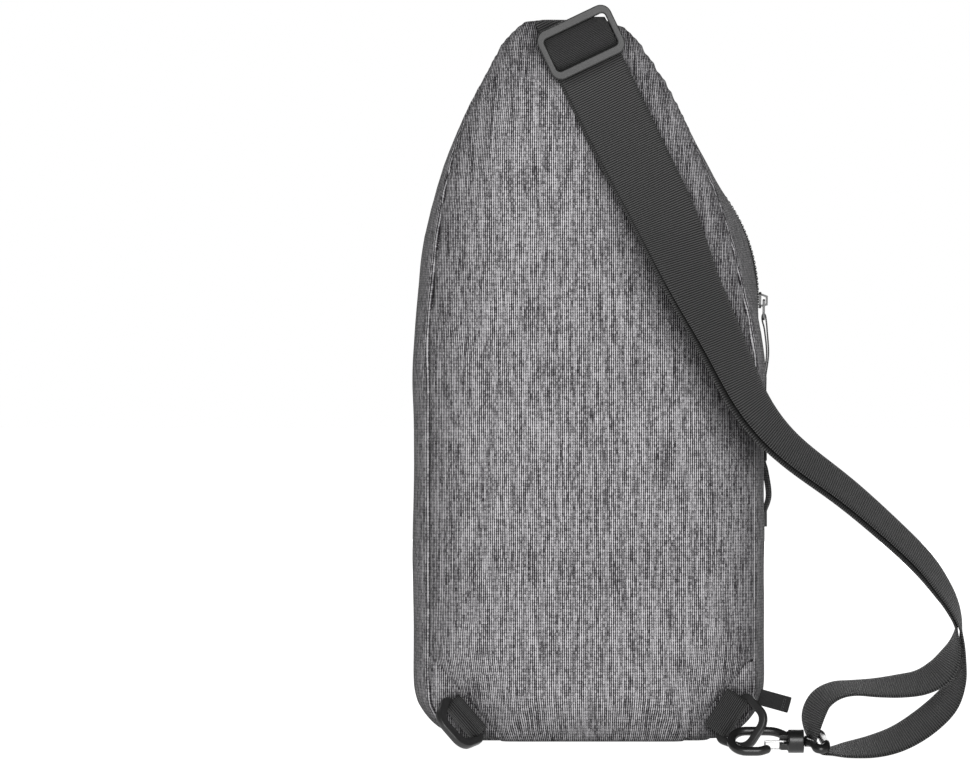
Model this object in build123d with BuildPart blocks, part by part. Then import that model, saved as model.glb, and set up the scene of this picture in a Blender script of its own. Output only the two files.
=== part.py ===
from build123d import *
import math
import os

os.makedirs("parts", exist_ok=True)

# Bag shell, millimetres. The wearer's side is the plane y = BACK_FACE, the pockets are on +Y.
BACK_FACE = -45.0
BACK_SEAM = -41.0
GUSSET_MIDDLE = -22.0
GUSSET_FRONT = -2.0
BORDER_FRONT = 10.0
CLOTH = 2.5
CORNER = 24.0
BASE_PLATE = 1.5
ARCH_RADIUS = 99.5
ARCH_CENTRE = 257.0
COS45 = math.sqrt(0.5)

# Teardrop outlines: half widths, shoulder heights, two points on each shoulder, crown.
SEAM = {
    "left": 92.6, "right": 95.4, "floor": BASE_PLATE,
    "shoulder_left": 240.0, "shoulder_right": 225.0,
    "left_points": [(-83.0, 314.0), (-65.5, 362.0)],
    "right_points": [(81.0, 294.0), (59.0, 346.0)],
    "crown": 413.0, "crown_left": -40.0, "crown_right": 17.0,
    "slope_left": (-0.62, -0.78), "slope_right": (-0.8, 0.6),
}
MIDDLE = {
    "left": 104.0, "right": 102.5, "floor": BASE_PLATE,
    "shoulder_left": 225.0, "shoulder_right": 225.0,
    "left_points": [(-94.0, 300.0), (-74.0, 350.0)],
    "right_points": [(91.0, 292.0), (66.5, 343.0)],
    "crown": 398.0, "crown_left": -36.0, "crown_right": 14.0,
    "slope_left": (-0.75, -0.66), "slope_right": (-0.8, 0.6),
}
FRONT = {
    "left": ARCH_RADIUS, "right": ARCH_RADIUS, "floor": BASE_PLATE,
    "shoulder_left": ARCH_CENTRE, "shoulder_right": ARCH_CENTRE,
    "left_points": [
        (-ARCH_RADIUS * math.cos(math.radians(25)), ARCH_CENTRE + ARCH_RADIUS * math.sin(math.radians(25))),
        (-ARCH_RADIUS * COS45, ARCH_CENTRE + ARCH_RADIUS * COS45),
    ],
    "right_points": [
        (ARCH_RADIUS * math.cos(math.radians(25)), ARCH_CENTRE + ARCH_RADIUS * math.sin(math.radians(25))),
        (ARCH_RADIUS * COS45, ARCH_CENTRE + ARCH_RADIUS * COS45),
    ],
    "crown": ARCH_CENTRE + ARCH_RADIUS, "crown_left": -2.0, "crown_right": 2.0,
    "slope_left": (-1, 0), "slope_right": (-1, 0),
}

# Front wall and lower pocket are arcs in plan.
PANEL_DEPTH = 26.0
PANEL_RADIUS = (ARCH_RADIUS**2 + (PANEL_DEPTH - BORDER_FRONT) ** 2) / (2 * (PANEL_DEPTH - BORDER_FRONT))
PANEL_AXIS = PANEL_DEPTH - PANEL_RADIUS
POCKET_DEPTH = 45.0
POCKET_RADIUS = 166.5
POCKET_AXIS = POCKET_DEPTH - POCKET_RADIUS
POCKET_TOP = 165.0
POCKET_ZIP = 171.5
POCKET_CAP = 178.0
POCKET_PROUD = 1.4
POCKET_SIDE = 8.5
POCKET_FLARE = 5.0

# Zips
TAPE = 1.0
TEETH = 1.8
TEETH_HALF = 1.2
ZIP_START = 6.0
POCKET_REST = 36.9

# Webbing, rings and hook
RING_HALF_THICK = 2.0
RING_BAND = 4.0
RING_BASE = 15.2
RING_TOP = 10.5
RING_REACH = 20.5
LOOP_WIDTH = 24.0
LOOP_CLOTH = 1.4
RIGHT_BAR = (81.9, -47.4, 15.0)
RIGHT_ALONG = (0.541, 0.0, 0.841)
RIGHT_TILT = 35.0
LEFT_BAR = (-71.7, -47.8, 13.7)
LEFT_ALONG = (0.655, 0.0, -0.755)
LEFT_TILT = 62.0
RIGHT_LEG = 8.8
LEFT_LEG = 5.0
LEG_RISE = 2.6
HOOK_Y = -59.9
HOOK_Z = 2.0
HOOK_TWIST = 55.0
STRAP_WIDTH = 38.0
STRAP_THICK = 3.2


def save(piece, name):
    piece.part.label = name
    export_step(piece.part, "parts/" + name + ".step")


def teardrop(shape, inset):
    left = inset - shape["left"]
    right = shape["right"] - inset
    floor = shape["floor"] + inset
    crown = shape["crown"] - inset
    lean = 0.9 * inset
    drop = 0.45 * inset
    (ax, az), (bx, bz) = shape["right_points"]
    (cx, cz), (dx, dz) = shape["left_points"]
    with BuildLine() as edge:
        Line((left + CORNER, floor), (right - CORNER, floor))
        CenterArc((right - CORNER, floor + CORNER), CORNER, -90, 90)
        Line((right, floor + CORNER), (right, shape["shoulder_right"]))
        Spline(
            (right, shape["shoulder_right"]),
            (ax - lean, az - drop),
            (bx - 0.7 * inset, bz - 0.7 * inset),
            (shape["crown_right"], crown),
            tangents=[(0, 1), shape["slope_right"]],
        )
        Line((shape["crown_right"], crown), (shape["crown_left"], crown))
        Spline(
            (shape["crown_left"], crown),
            (dx + 0.7 * inset, dz - 0.7 * inset),
            (cx + lean, cz - drop),
            (left, shape["shoulder_left"]),
            tangents=[shape["slope_left"], (0, -1)],
        )
        Line((left, shape["shoulder_left"]), (left, floor + CORNER))
        CenterArc((left + CORNER, floor + CORNER), CORNER, 180, 90)
    make_face(edge.edges())


def facing(y):
    return Plane.XZ.offset(-y)


def keep_box(x0, x1, y0, y1, z0, z1):
    middle = ((x0 + x1) / 2, (y0 + y1) / 2, (z0 + z1) / 2)
    with Locations(middle):
        Box(x1 - x0, y1 - y0, z1 - z0, mode=Mode.INTERSECT)


# Gusset: a bulged tube of cloth between the back seam and the front border
with BuildPart() as tube:
    for shape, y in ((SEAM, BACK_SEAM), (MIDDLE, GUSSET_MIDDLE), (FRONT, GUSSET_FRONT)):
        with BuildSketch(facing(y)):
            teardrop(shape, 0)
    loft()
    for shape, y in ((SEAM, BACK_SEAM), (MIDDLE, GUSSET_MIDDLE), (FRONT, GUSSET_FRONT)):
        with BuildSketch(facing(y)):
            teardrop(shape, CLOTH)
    loft(mode=Mode.SUBTRACT)

YOKE_FLOOR = 300.0
BASE_TOP = 26.0
REACH = 130.0
with BuildPart() as top_yoke:
    add(tube.part)
    keep_box(-REACH, REACH, BACK_FACE, POCKET_DEPTH, YOKE_FLOOR, 430)
with BuildPart() as gusset_left:
    add(tube.part)
    keep_box(-REACH, 0, BACK_FACE, POCKET_DEPTH, BASE_TOP, YOKE_FLOOR)
with BuildPart() as gusset_right:
    add(tube.part)
    keep_box(0, REACH, BACK_FACE, POCKET_DEPTH, BASE_TOP, YOKE_FLOOR)
with BuildPart() as gusset_base:
    add(tube.part)
    keep_box(-REACH, REACH, BACK_FACE, POCKET_DEPTH, 0, BASE_TOP)
save(top_yoke, "top_yoke")
save(gusset_left, "gusset_left")
save(gusset_right, "gusset_right")
save(gusset_base, "gusset_base")

# Base patch with the flat resting face
with BuildPart() as base_patch:
    with BuildSketch():
        with Locations((0, -14.5)):
            RectangleRounded(140, 47, 8)
    extrude(amount=BASE_PLATE)
save(base_patch, "base_patch")

# Padded back: cloth with cut corners, foam and lining behind it
CUT_RIGHT = [(130, 85.4), (93.7, 43), (56.9, 0), (20, -43.1), (130, -43.1)]
CUT_LEFT = [(-130, 88.9), (-94.3, 47.7), (-52.9, 0), (-15, -43.7), (-130, -43.7)]
with BuildPart() as back_panel:
    with BuildSketch(facing(BACK_SEAM)):
        teardrop(SEAM, 0)
        for corner in (CUT_RIGHT, CUT_LEFT):
            with BuildLine():
                Polyline(*corner, close=True)
            make_face(mode=Mode.SUBTRACT)
    extrude(amount=BACK_SEAM - BACK_FACE)
    chamfer(back_panel.faces().sort_by(Axis.Y)[0].edges(), 3.0)
save(back_panel, "back_panel")

PATCH = 1.2
for name, corner in (("corner_patch_right", CUT_RIGHT), ("corner_patch_left", CUT_LEFT)):
    with BuildPart() as patch:
        with BuildSketch(facing(BACK_SEAM)):
            teardrop(SEAM, 0)
            with BuildLine():
                Polyline(*corner, close=True)
            make_face(mode=Mode.INTERSECT)
        extrude(amount=PATCH)
    save(patch, name)

FOAM_DEPTH = 4.0
LINING = 0.8
FOAM_GAP = 2.0
FOAM = dict(SEAM, crown=407.0, crown_left=-37.0, crown_right=13.0)
with BuildPart() as back_foam:
    with BuildSketch(facing(BACK_SEAM + FOAM_DEPTH)):
        teardrop(FOAM, CLOTH + FOAM_GAP)
    extrude(amount=FOAM_DEPTH)
save(back_foam, "back_foam")
with BuildPart() as back_lining:
    with BuildSketch(facing(BACK_SEAM + FOAM_DEPTH + LINING)):
        teardrop(FOAM, CLOTH + FOAM_GAP)
    extrude(amount=LINING)
save(back_lining, "back_lining")
INSIDE = BACK_SEAM + FOAM_DEPTH + LINING

# Sleeve on the lining, open at the top
SLEEVE_GAP = 5.0
with BuildPart() as tablet_sleeve:
    with BuildSketch(facing(INSIDE + SLEEVE_GAP + 1.5)):
        with Locations((0, 128)):
            RectangleRounded(164, 200, 10)
    extrude(amount=SLEEVE_GAP + 1.5)
    with BuildSketch(facing(INSIDE + SLEEVE_GAP)):
        with Locations((0, 134)):
            Rectangle(158, 206)
    extrude(amount=SLEEVE_GAP, mode=Mode.SUBTRACT)
save(tablet_sleeve, "tablet_sleeve")

# Front border under the arch and the front wall
with BuildPart() as front_border:
    with BuildSketch(facing(BORDER_FRONT)):
        teardrop(FRONT, 0)
    extrude(amount=BORDER_FRONT - GUSSET_FRONT)
    with BuildSketch(facing(BORDER_FRONT)):
        teardrop(FRONT, CLOTH)
    extrude(amount=BORDER_FRONT - GUSSET_FRONT, mode=Mode.SUBTRACT)
    keep_box(-REACH, REACH, BACK_FACE, POCKET_DEPTH, 0, ARCH_CENTRE - 13)
save(front_border, "front_border")

with BuildPart() as front_hollow:
    with BuildSketch(facing(BORDER_FRONT)):
        teardrop(FRONT, CLOTH)
    extrude(amount=-POCKET_DEPTH)
    with Locations((0, PANEL_AXIS, 0)):
        Cylinder(PANEL_RADIUS - CLOTH, 900, mode=Mode.INTERSECT)
with BuildPart() as front_panel:
    with BuildSketch(facing(BORDER_FRONT)):
        teardrop(FRONT, 0)
    extrude(amount=-POCKET_DEPTH)
    with Locations((0, PANEL_AXIS, 0)):
        Cylinder(PANEL_RADIUS, 900, mode=Mode.INTERSECT)
    add(front_hollow.part, mode=Mode.SUBTRACT)
save(front_panel, "front_panel")

# Organiser on the inside of the front wall with three open slots
SLOT_WIDTH = 44.0
with BuildPart() as organiser_panel:
    with Locations((0, 15, 110)):
        Box(148, 14, 110)
    with Locations((0, PANEL_AXIS, 0)):
        Cylinder(PANEL_RADIUS - CLOTH, 900, mode=Mode.INTERSECT)
    for x in (-48, 0, 48):
        with Locations((x, 14, 113)):
            Box(SLOT_WIDTH, 7, 110, mode=Mode.SUBTRACT)
save(organiser_panel, "organiser_panel")

def pocket_outline(inset):
    """Rounded rectangle that flares past the front border; the top is cut off later."""
    half = ARCH_RADIUS + POCKET_FLARE - inset
    floor = BASE_PLATE - POCKET_PROUD + inset
    with BuildLine() as edge:
        Line((CORNER - half, floor), (half - CORNER, floor))
        CenterArc((half - CORNER, floor + CORNER), CORNER, -90, 90)
        Line((half, floor + CORNER), (half, 200))
        Line((half, 200), (-half, 200))
        Line((-half, 200), (-half, floor + CORNER))
        CenterArc((CORNER - half, floor + CORNER), CORNER, 180, 90)
    make_face(edge.edges())


# Lower pocket: skin, roof and the void behind it
with BuildPart() as pocket_block:
    with BuildSketch(facing(POCKET_SIDE)):
        pocket_outline(0)
    extrude(amount=-POCKET_DEPTH)
    with Locations((0, POCKET_AXIS, 0)):
        Cylinder(POCKET_RADIUS, 900, mode=Mode.INTERSECT)
    with Locations((0, PANEL_AXIS, 0)):
        Cylinder(PANEL_RADIUS, 900, mode=Mode.SUBTRACT)
    with BuildSketch(facing(BORDER_FRONT)):
        teardrop(FRONT, 0)
    extrude(amount=BORDER_FRONT, mode=Mode.SUBTRACT)
with BuildPart() as pocket_void:
    with BuildSketch(facing(BORDER_FRONT)):
        pocket_outline(CLOTH)
    extrude(amount=-POCKET_DEPTH)
    with Locations((0, POCKET_AXIS, 0)):
        Cylinder(POCKET_RADIUS - CLOTH, 900, mode=Mode.INTERSECT)
with BuildPart() as front_pocket:
    add(pocket_block.part)
    add(pocket_void.part, mode=Mode.SUBTRACT)
    keep_box(-REACH, REACH, 0, 60, 0, POCKET_TOP)
save(front_pocket, "front_pocket")
with BuildPart() as pocket_roof:
    add(pocket_block.part)
    keep_box(-REACH, REACH, 0, 60, POCKET_CAP, POCKET_CAP + CLOTH)
save(pocket_roof, "pocket_roof")


def ring_band(outer, inner, height):
    Cylinder(outer, height)
    Cylinder(inner, height, mode=Mode.SUBTRACT)


def wedge(axis, radius, half_angle):
    """Plan wedge that opens towards +Y, used to trim a ring to an arc."""
    wide = radius * math.sin(math.radians(half_angle))
    deep = radius * math.cos(math.radians(half_angle))
    with BuildLine() as edge:
        Polyline((0, axis), (wide, axis + deep), (0, axis + 1.6 * radius), (-wide, axis + deep), close=True)
    make_face(edge.edges())


# Pocket zip: two tapes and a tooth row on one arc
POCKET_ARC = 38.2
POCKET_BANDS = {
    "pocket_tape_lower": (POCKET_TOP, POCKET_ZIP - TEETH_HALF, POCKET_RADIUS, TAPE),
    "pocket_tape_upper": (POCKET_ZIP + TEETH_HALF, POCKET_CAP, POCKET_RADIUS, TAPE),
    "pocket_teeth": (POCKET_ZIP - TEETH_HALF, POCKET_ZIP + TEETH_HALF, POCKET_RADIUS + 0.9, TEETH),
}
for name, (low, high, outer, thick) in POCKET_BANDS.items():
    with BuildPart() as band:
        with Locations((0, POCKET_AXIS, (low + high) / 2)):
            ring_band(outer, outer - thick, high - low)
        with BuildSketch(Plane.XY.offset(low)):
            wedge(POCKET_AXIS, POCKET_RADIUS * 1.2, POCKET_ARC)
        extrude(amount=high - low, mode=Mode.INTERSECT)
    save(band, name)


def arch_trim(y0, y1, start):
    """Keep the arc of a ring that lies above the zip ends."""
    with BuildSketch(facing(y1)) as face:
        low = ARCH_CENTRE - 120 * math.sin(math.radians(start))
        with BuildLine() as edge:
            Polyline((0, ARCH_CENTRE), (119, low), (119, 400), (-119, 400), (-119, low), close=True)
        make_face(edge.edges())
    extrude(face.sketch, amount=y1 - y0, mode=Mode.INTERSECT)


# Main zip on the arch: two tapes, the tooth row and two end stops
ZIP_Y = (GUSSET_FRONT + BORDER_FRONT) / 2
MAIN_BANDS = {
    "main_tape_back": (GUSSET_FRONT, ZIP_Y - TEETH_HALF, ARCH_RADIUS - 0.5, TAPE),
    "main_tape_front": (ZIP_Y + TEETH_HALF, BORDER_FRONT, ARCH_RADIUS - 0.5, TAPE),
    "main_teeth": (ZIP_Y - TEETH_HALF, ZIP_Y + TEETH_HALF, ARCH_RADIUS + 0.4, TEETH),
}
for name, (near, far, outer, thick) in MAIN_BANDS.items():
    with BuildPart() as band:
        with Locations(Location((0, (near + far) / 2, ARCH_CENTRE), (90, 0, 0))):
            ring_band(outer, outer - thick, far - near)
        arch_trim(near, far, ZIP_START)
    save(band, name)

# Zip slider: a shell that rides over the tooth row, with a bridge for the pull
SLIDER_LENGTH = 9.6
SLIDER_WIDTH = 8.0
SLIDER_LIFT = 0.15
BRIDGE_RISE = 5.4


def slider_shape():
    """Local x runs along the zip, y across it, z away from the tape; z = 0 is the tooth top."""
    with BuildSketch(Plane.XY.offset(SLIDER_LIFT)) as face:
        RectangleRounded(SLIDER_LENGTH, SLIDER_WIDTH, 2.2)
    extrude(face.sketch, amount=1.3)
    with BuildSketch(Plane.XZ.offset(-1.2)) as face:
        with BuildLine() as edge:
            Polyline((-4.0, 1.0), (-3.0, BRIDGE_RISE), (2.6, BRIDGE_RISE), (4.2, 1.0), close=True)
        make_face(edge.edges())
        with BuildLine() as edge:
            Polyline((-2.7, 1.4), (-2.0, 4.2), (1.7, 4.2), (2.8, 1.4), close=True)
        make_face(edge.edges(), mode=Mode.SUBTRACT)
    extrude(face.sketch, amount=2.4)


# Pull link: a plate with an eye over the bridge and a slot for the cord
LINK_TOP = 0.6
LINK_LENGTH = 12.4
LINK_THICK = 1.2


def link_shape():
    with BuildSketch() as face:
        with Locations((LINK_TOP - LINK_LENGTH / 2, 0)):
            RectangleRounded(LINK_LENGTH, 6.4, 1.6)
        with Locations((-2.7, 0)):
            RectangleRounded(4.2, 3.4, 0.6, mode=Mode.SUBTRACT)
        with Locations((-8.4, 0)):
            RectangleRounded(3.2, 3.8, 1.0, mode=Mode.SUBTRACT)
    extrude(face.sketch, amount=LINK_THICK / 2, both=True)


def cord_shape(length, drop):
    """Flat cord looped through the slot of the link."""
    with BuildSketch(Plane.XZ) as face:
        with Locations((-7.0 - length / 2, 0)):
            SlotOverall(length, 3.4)
        with Locations((-7.8 - drop / 2, 0)):
            SlotOverall(drop, 1.8, mode=Mode.SUBTRACT)
    extrude(face.sketch, amount=1.5, both=True)


def tip_shape(start):
    with BuildSketch(Plane.YZ.offset(start)) as face:
        RectangleRounded(5.2, 4.8, 1.2)
    extrude(face.sketch, amount=-9.0)
    with BuildSketch(Plane.XZ) as face:
        with Locations((start - 1.9, 0)):
            Rectangle(4.0, 3.44)
    extrude(face.sketch, amount=1.54, both=True, mode=Mode.SUBTRACT)


def placed(shape, plane, *sizes):
    with BuildPart() as local:
        shape(*sizes)
    with BuildPart() as piece:
        add(plane.location * local.part)
    return piece


MAIN_REST = -1.0
main_angle = math.radians(MAIN_REST)
main_out = (math.cos(main_angle), 0, math.sin(main_angle))
main_top = ARCH_RADIUS + 0.4
main_plane = Plane(
    origin=(main_top * main_out[0], ZIP_Y, ARCH_CENTRE + main_top * main_out[2]),
    x_dir=(-main_out[2], 0, main_out[0]),
    z_dir=main_out,
)
PIVOT = 3.1
main_link_plane = main_plane.offset(PIVOT)
save(placed(slider_shape, main_plane), "main_slider")
save(placed(link_shape, main_link_plane), "main_link")
save(placed(cord_shape, main_link_plane, 41.6, 33), "main_cord")
save(placed(tip_shape, main_link_plane, -45.0), "main_cord_tip")

pocket_angle = math.radians(POCKET_REST)
pocket_out = (math.sin(pocket_angle), math.cos(pocket_angle), 0)
pocket_top = POCKET_RADIUS + 0.9
pocket_origin = (pocket_top * pocket_out[0], POCKET_AXIS + pocket_top * pocket_out[1], POCKET_ZIP)
pocket_plane = Plane(origin=pocket_origin, x_dir=(pocket_out[1], -pocket_out[0], 0), z_dir=pocket_out)
pocket_link_plane = Plane(
    origin=(
        pocket_origin[0] + PIVOT * pocket_out[0],
        pocket_origin[1] + PIVOT * pocket_out[1],
        POCKET_ZIP,
    ),
    x_dir=(0, 0, 1),
    z_dir=pocket_out,
)


def pocket_slider_shape():
    """Body along the zip; the bridge is turned so the pull hangs across it."""
    with BuildSketch(Plane.XY.offset(SLIDER_LIFT)) as face:
        RectangleRounded(SLIDER_LENGTH, SLIDER_WIDTH, 2.2)
    extrude(face.sketch, amount=1.3)
    with BuildSketch(Plane.YZ.offset(-1.2)) as face:
        with BuildLine() as edge:
            Polyline((-3.6, 1.0), (-2.6, BRIDGE_RISE), (2.6, BRIDGE_RISE), (3.6, 1.0), close=True)
        make_face(edge.edges())
        with BuildLine() as edge:
            Polyline((-2.4, 1.4), (-1.7, 4.2), (1.7, 4.2), (2.4, 1.4), close=True)
        make_face(edge.edges(), mode=Mode.SUBTRACT)
    extrude(face.sketch, amount=2.4)


save(placed(pocket_slider_shape, pocket_plane), "pocket_slider")
save(placed(link_shape, pocket_link_plane), "pocket_link")
save(placed(cord_shape, pocket_link_plane, 37.6, 29), "pocket_cord")
save(placed(tip_shape, pocket_link_plane, -41.0), "pocket_cord_tip")


# Corner rings and the webbing loops that hold them
def outward(along):
    return (along[2], 0, -along[0])


def ring_plane(bar, along, tilt):
    out = outward(along)
    lean = math.radians(tilt)
    reach = (out[0] * math.cos(lean), -math.sin(lean), out[2] * math.cos(lean))
    normal = (
        along[1] * reach[2] - along[2] * reach[1],
        along[2] * reach[0] - along[0] * reach[2],
        along[0] * reach[1] - along[1] * reach[0],
    )
    return Plane(origin=bar, x_dir=along, z_dir=normal)


def trapezoid(grow):
    with BuildLine() as edge:
        Polyline(
            (-RING_BASE - grow, -grow),
            (RING_BASE + grow, -grow),
            (RING_TOP + grow, RING_REACH + grow),
            (-RING_TOP - grow, RING_REACH + grow),
            close=True,
        )
    make_face(edge.edges())


def ring_shape():
    with BuildSketch(Plane.XY.offset(-RING_HALF_THICK)) as face:
        trapezoid(RING_BAND / 2)
        fillet(face.vertices(), 8.0)
    extrude(face.sketch, amount=2 * RING_HALF_THICK)
    with BuildSketch(Plane.XY.offset(-RING_HALF_THICK)) as face:
        trapezoid(-RING_BAND / 2)
        fillet(face.vertices().sort_by(Axis.Y)[2:], 4.0)
    extrude(face.sketch, amount=2 * RING_HALF_THICK, mode=Mode.SUBTRACT)
    flats = faces().sort_by(Axis.Z)
    chamfer(flats[0].outer_wire().edges() + flats[-1].outer_wire().edges(), 0.8)


def loop_shape(leg):
    """Webbing turned round the ring bar, with its two plies running in to the seam."""
    bore = RING_BAND / 2 + 1.0
    ply_start = -bore - 0.4
    with BuildSketch(Plane.XY.offset(-LOOP_WIDTH / 2)) as face:
        Circle(bore + LOOP_CLOTH)
        with Locations(((ply_start - leg) / 2, LEG_RISE)):
            Rectangle(leg + ply_start + 1.4, 2 * LOOP_CLOTH - 0.8)
        Circle(bore, mode=Mode.SUBTRACT)
    extrude(face.sketch, amount=LOOP_WIDTH)


CORNERS = {
    "right": (RIGHT_BAR, RIGHT_ALONG, RIGHT_TILT, RIGHT_LEG),
    "left": (LEFT_BAR, LEFT_ALONG, LEFT_TILT, LEFT_LEG),
}
for side, (bar, along, tilt, leg) in CORNERS.items():
    web = Plane(origin=bar, x_dir=outward(along), z_dir=along)
    save(placed(ring_shape, ring_plane(bar, along, tilt)), "ring_" + side)
    save(placed(loop_shape, web, leg), "loop_" + side)

# Swivel hook; local x is the long axis, y the opening direction, z across the hook
hook_twist = math.radians(HOOK_TWIST)
hook_side = (0, -math.cos(hook_twist), math.sin(hook_twist))
hook_plane = Plane(origin=(0, HOOK_Y, HOOK_Z), x_dir=(1, 0, 0), z_dir=hook_side)
BEND = 90.0
BEND_RADIUS = 8.8
HOOK_ROD = 2.6
COLLAR_START = 113.6
COLLAR_LENGTH = 8.9
COLLAR_RADIUS = 6.7
PIN_RADIUS = 3.0
PIN_BORE = 3.05
GATE_WIRE = 0.6
GATE_PIVOT = (110.6, -3.4)
GATE_NOSE = (100.2, -3.65)


def hook_shape():
    with BuildLine() as edge:
        rail = [
            Spline(
                (COLLAR_START + 1.0, 2.6),
                (106.0, 8.2),
                (99.0, BEND_RADIUS),
                tangents=[(-1, 0.9), (-1, 0)],
            ),
            Line((99.0, BEND_RADIUS), (BEND, BEND_RADIUS)),
            CenterArc((BEND, 0), BEND_RADIUS, 90, 180),
            Line((BEND, -BEND_RADIUS), (BEND + 5.0, -BEND_RADIUS)),
            Spline((BEND + 5.0, -BEND_RADIUS), (100.4, -7.2), tangents=[(1, 0), (1, 0.6)]),
        ]
        wire = Wire([item.edge() for item in rail])
    with BuildSketch(Plane(origin=wire @ 0, z_dir=wire % 0)) as face:
        Circle(HOOK_ROD)
    sweep(face.sketch, path=wire)
    with Locations((101.0, -7.0, 0)):
        Sphere(HOOK_ROD)
    with BuildSketch(Plane.YZ.offset(COLLAR_START)) as face:
        Circle(COLLAR_RADIUS)
    extrude(face.sketch, amount=COLLAR_LENGTH)
    with BuildSketch(Plane.XY.offset(-2.2)) as face:
        with Locations((111.4, -0.8)):
            RectangleRounded(6.0, 9.6, 1.6)
    extrude(face.sketch, amount=4.4)
    with BuildSketch(Plane.YZ.offset(COLLAR_START - 7)) as face:
        Circle(PIN_BORE)
    extrude(face.sketch, amount=COLLAR_LENGTH + 8, mode=Mode.SUBTRACT)
    with BuildSketch(Plane.YZ.offset(COLLAR_START + 3)) as face:
        Circle(4.6)
    extrude(face.sketch, amount=2.4, mode=Mode.SUBTRACT)
    with BuildSketch(Plane.XY.offset(-10)) as face:
        with Locations(GATE_PIVOT):
            Circle(GATE_WIRE + 0.05)
    extrude(face.sketch, amount=20, mode=Mode.SUBTRACT)


def gate_shape():
    half = 2.9
    points = [
        (GATE_PIVOT[0], GATE_PIVOT[1], half),
        (GATE_NOSE[0], GATE_NOSE[1], half),
        (GATE_NOSE[0], GATE_NOSE[1], -half),
        (GATE_PIVOT[0], GATE_PIVOT[1], -half),
    ]
    for start, end in zip(points, points[1:] + points[:1]):
        with BuildLine() as edge:
            side = Line(start, end)
        with BuildSketch(Plane(origin=side @ 0, z_dir=side % 0)) as face:
            Circle(GATE_WIRE)
        sweep(face.sketch, path=side)
        with Locations(start):
            Sphere(GATE_WIRE)


def swivel_shape():
    """Webbing eye with a headed pin that turns in the collar."""
    with BuildSketch(Plane.YZ.offset(COLLAR_START + 1.0)) as face:
        Circle(PIN_RADIUS)
    extrude(face.sketch, amount=COLLAR_LENGTH + 2.0)
    with BuildSketch(Plane.YZ.offset(COLLAR_START + 3.2)) as face:
        Circle(4.4)
    extrude(face.sketch, amount=2.0)


save(placed(hook_shape, hook_plane), "hook_body")
save(placed(gate_shape, hook_plane), "hook_gate")

EYE_START = COLLAR_START + COLLAR_LENGTH + 0.4
EYE_BAR = 134.0
EYE_HALF = 23.0
with BuildPart() as swivel_eye:
    add(placed(swivel_shape, hook_plane).part)
    with BuildSketch(Plane.XY.offset(HOOK_Z - 2.6)):
        with BuildLine():
            Polyline(
                (EYE_START, HOOK_Y - 7),
                (EYE_START + 4, HOOK_Y - EYE_HALF),
                (EYE_BAR + 2.4, HOOK_Y - EYE_HALF),
                (EYE_BAR + 2.4, HOOK_Y + EYE_HALF),
                (EYE_START + 4, HOOK_Y + EYE_HALF),
                (EYE_START, HOOK_Y + 7),
                close=True,
            )
        make_face()
        with Locations(((EYE_START + 4.6 + EYE_BAR - 2.4) / 2, HOOK_Y)):
            RectangleRounded(EYE_BAR - 2.4 - EYE_START - 4.6, 39.4, 1.0, mode=Mode.SUBTRACT)
    extrude(amount=5.2)
save(swivel_eye, "swivel_eye")

# Strap: a twisting double layer that opens into a loop round the eye bar
STRAP_LINE = [
    (-9.0, -47.8, 409.0, 0),
    (10.4, -47.8, 369.0, 0),
    (27.0, -50.4, 334.7, 11),
    (44.3, -53.8, 300.0, 20),
    (58.4, -58.6, 265.7, 38),
    (75.3, -61.6, 231.0, 49),
    (90.6, -63.0, 196.7, 58),
    (112.0, -62.0, 170.6, 64),
    (148.4, -60.4, 142.0, 68),
    (186.6, -59.8, 107.5, 74),
    (206.5, -59.9, 80.0, 90),
]


def strap_plane(index):
    x, y, z, turn = STRAP_LINE[index]
    before = STRAP_LINE[max(index - 1, 0)]
    after = STRAP_LINE[min(index + 1, len(STRAP_LINE) - 1)]
    run = Vector(after[0] - before[0], after[1] - before[1], after[2] - before[2]).normalized()
    across = run.cross(Vector(0, 1, 0)).normalized() * -1
    side = across.rotate(Axis((0, 0, 0), (run.X, run.Y, run.Z)), -turn)
    return Plane(origin=(x, y, z), x_dir=side, z_dir=run)


with BuildPart() as strap_webbing:
    for index in range(len(STRAP_LINE)):
        with BuildSketch(strap_plane(index)):
            Rectangle(STRAP_WIDTH, STRAP_THICK)
    loft(ruled=True)
save(strap_webbing, "strap_webbing")

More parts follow.
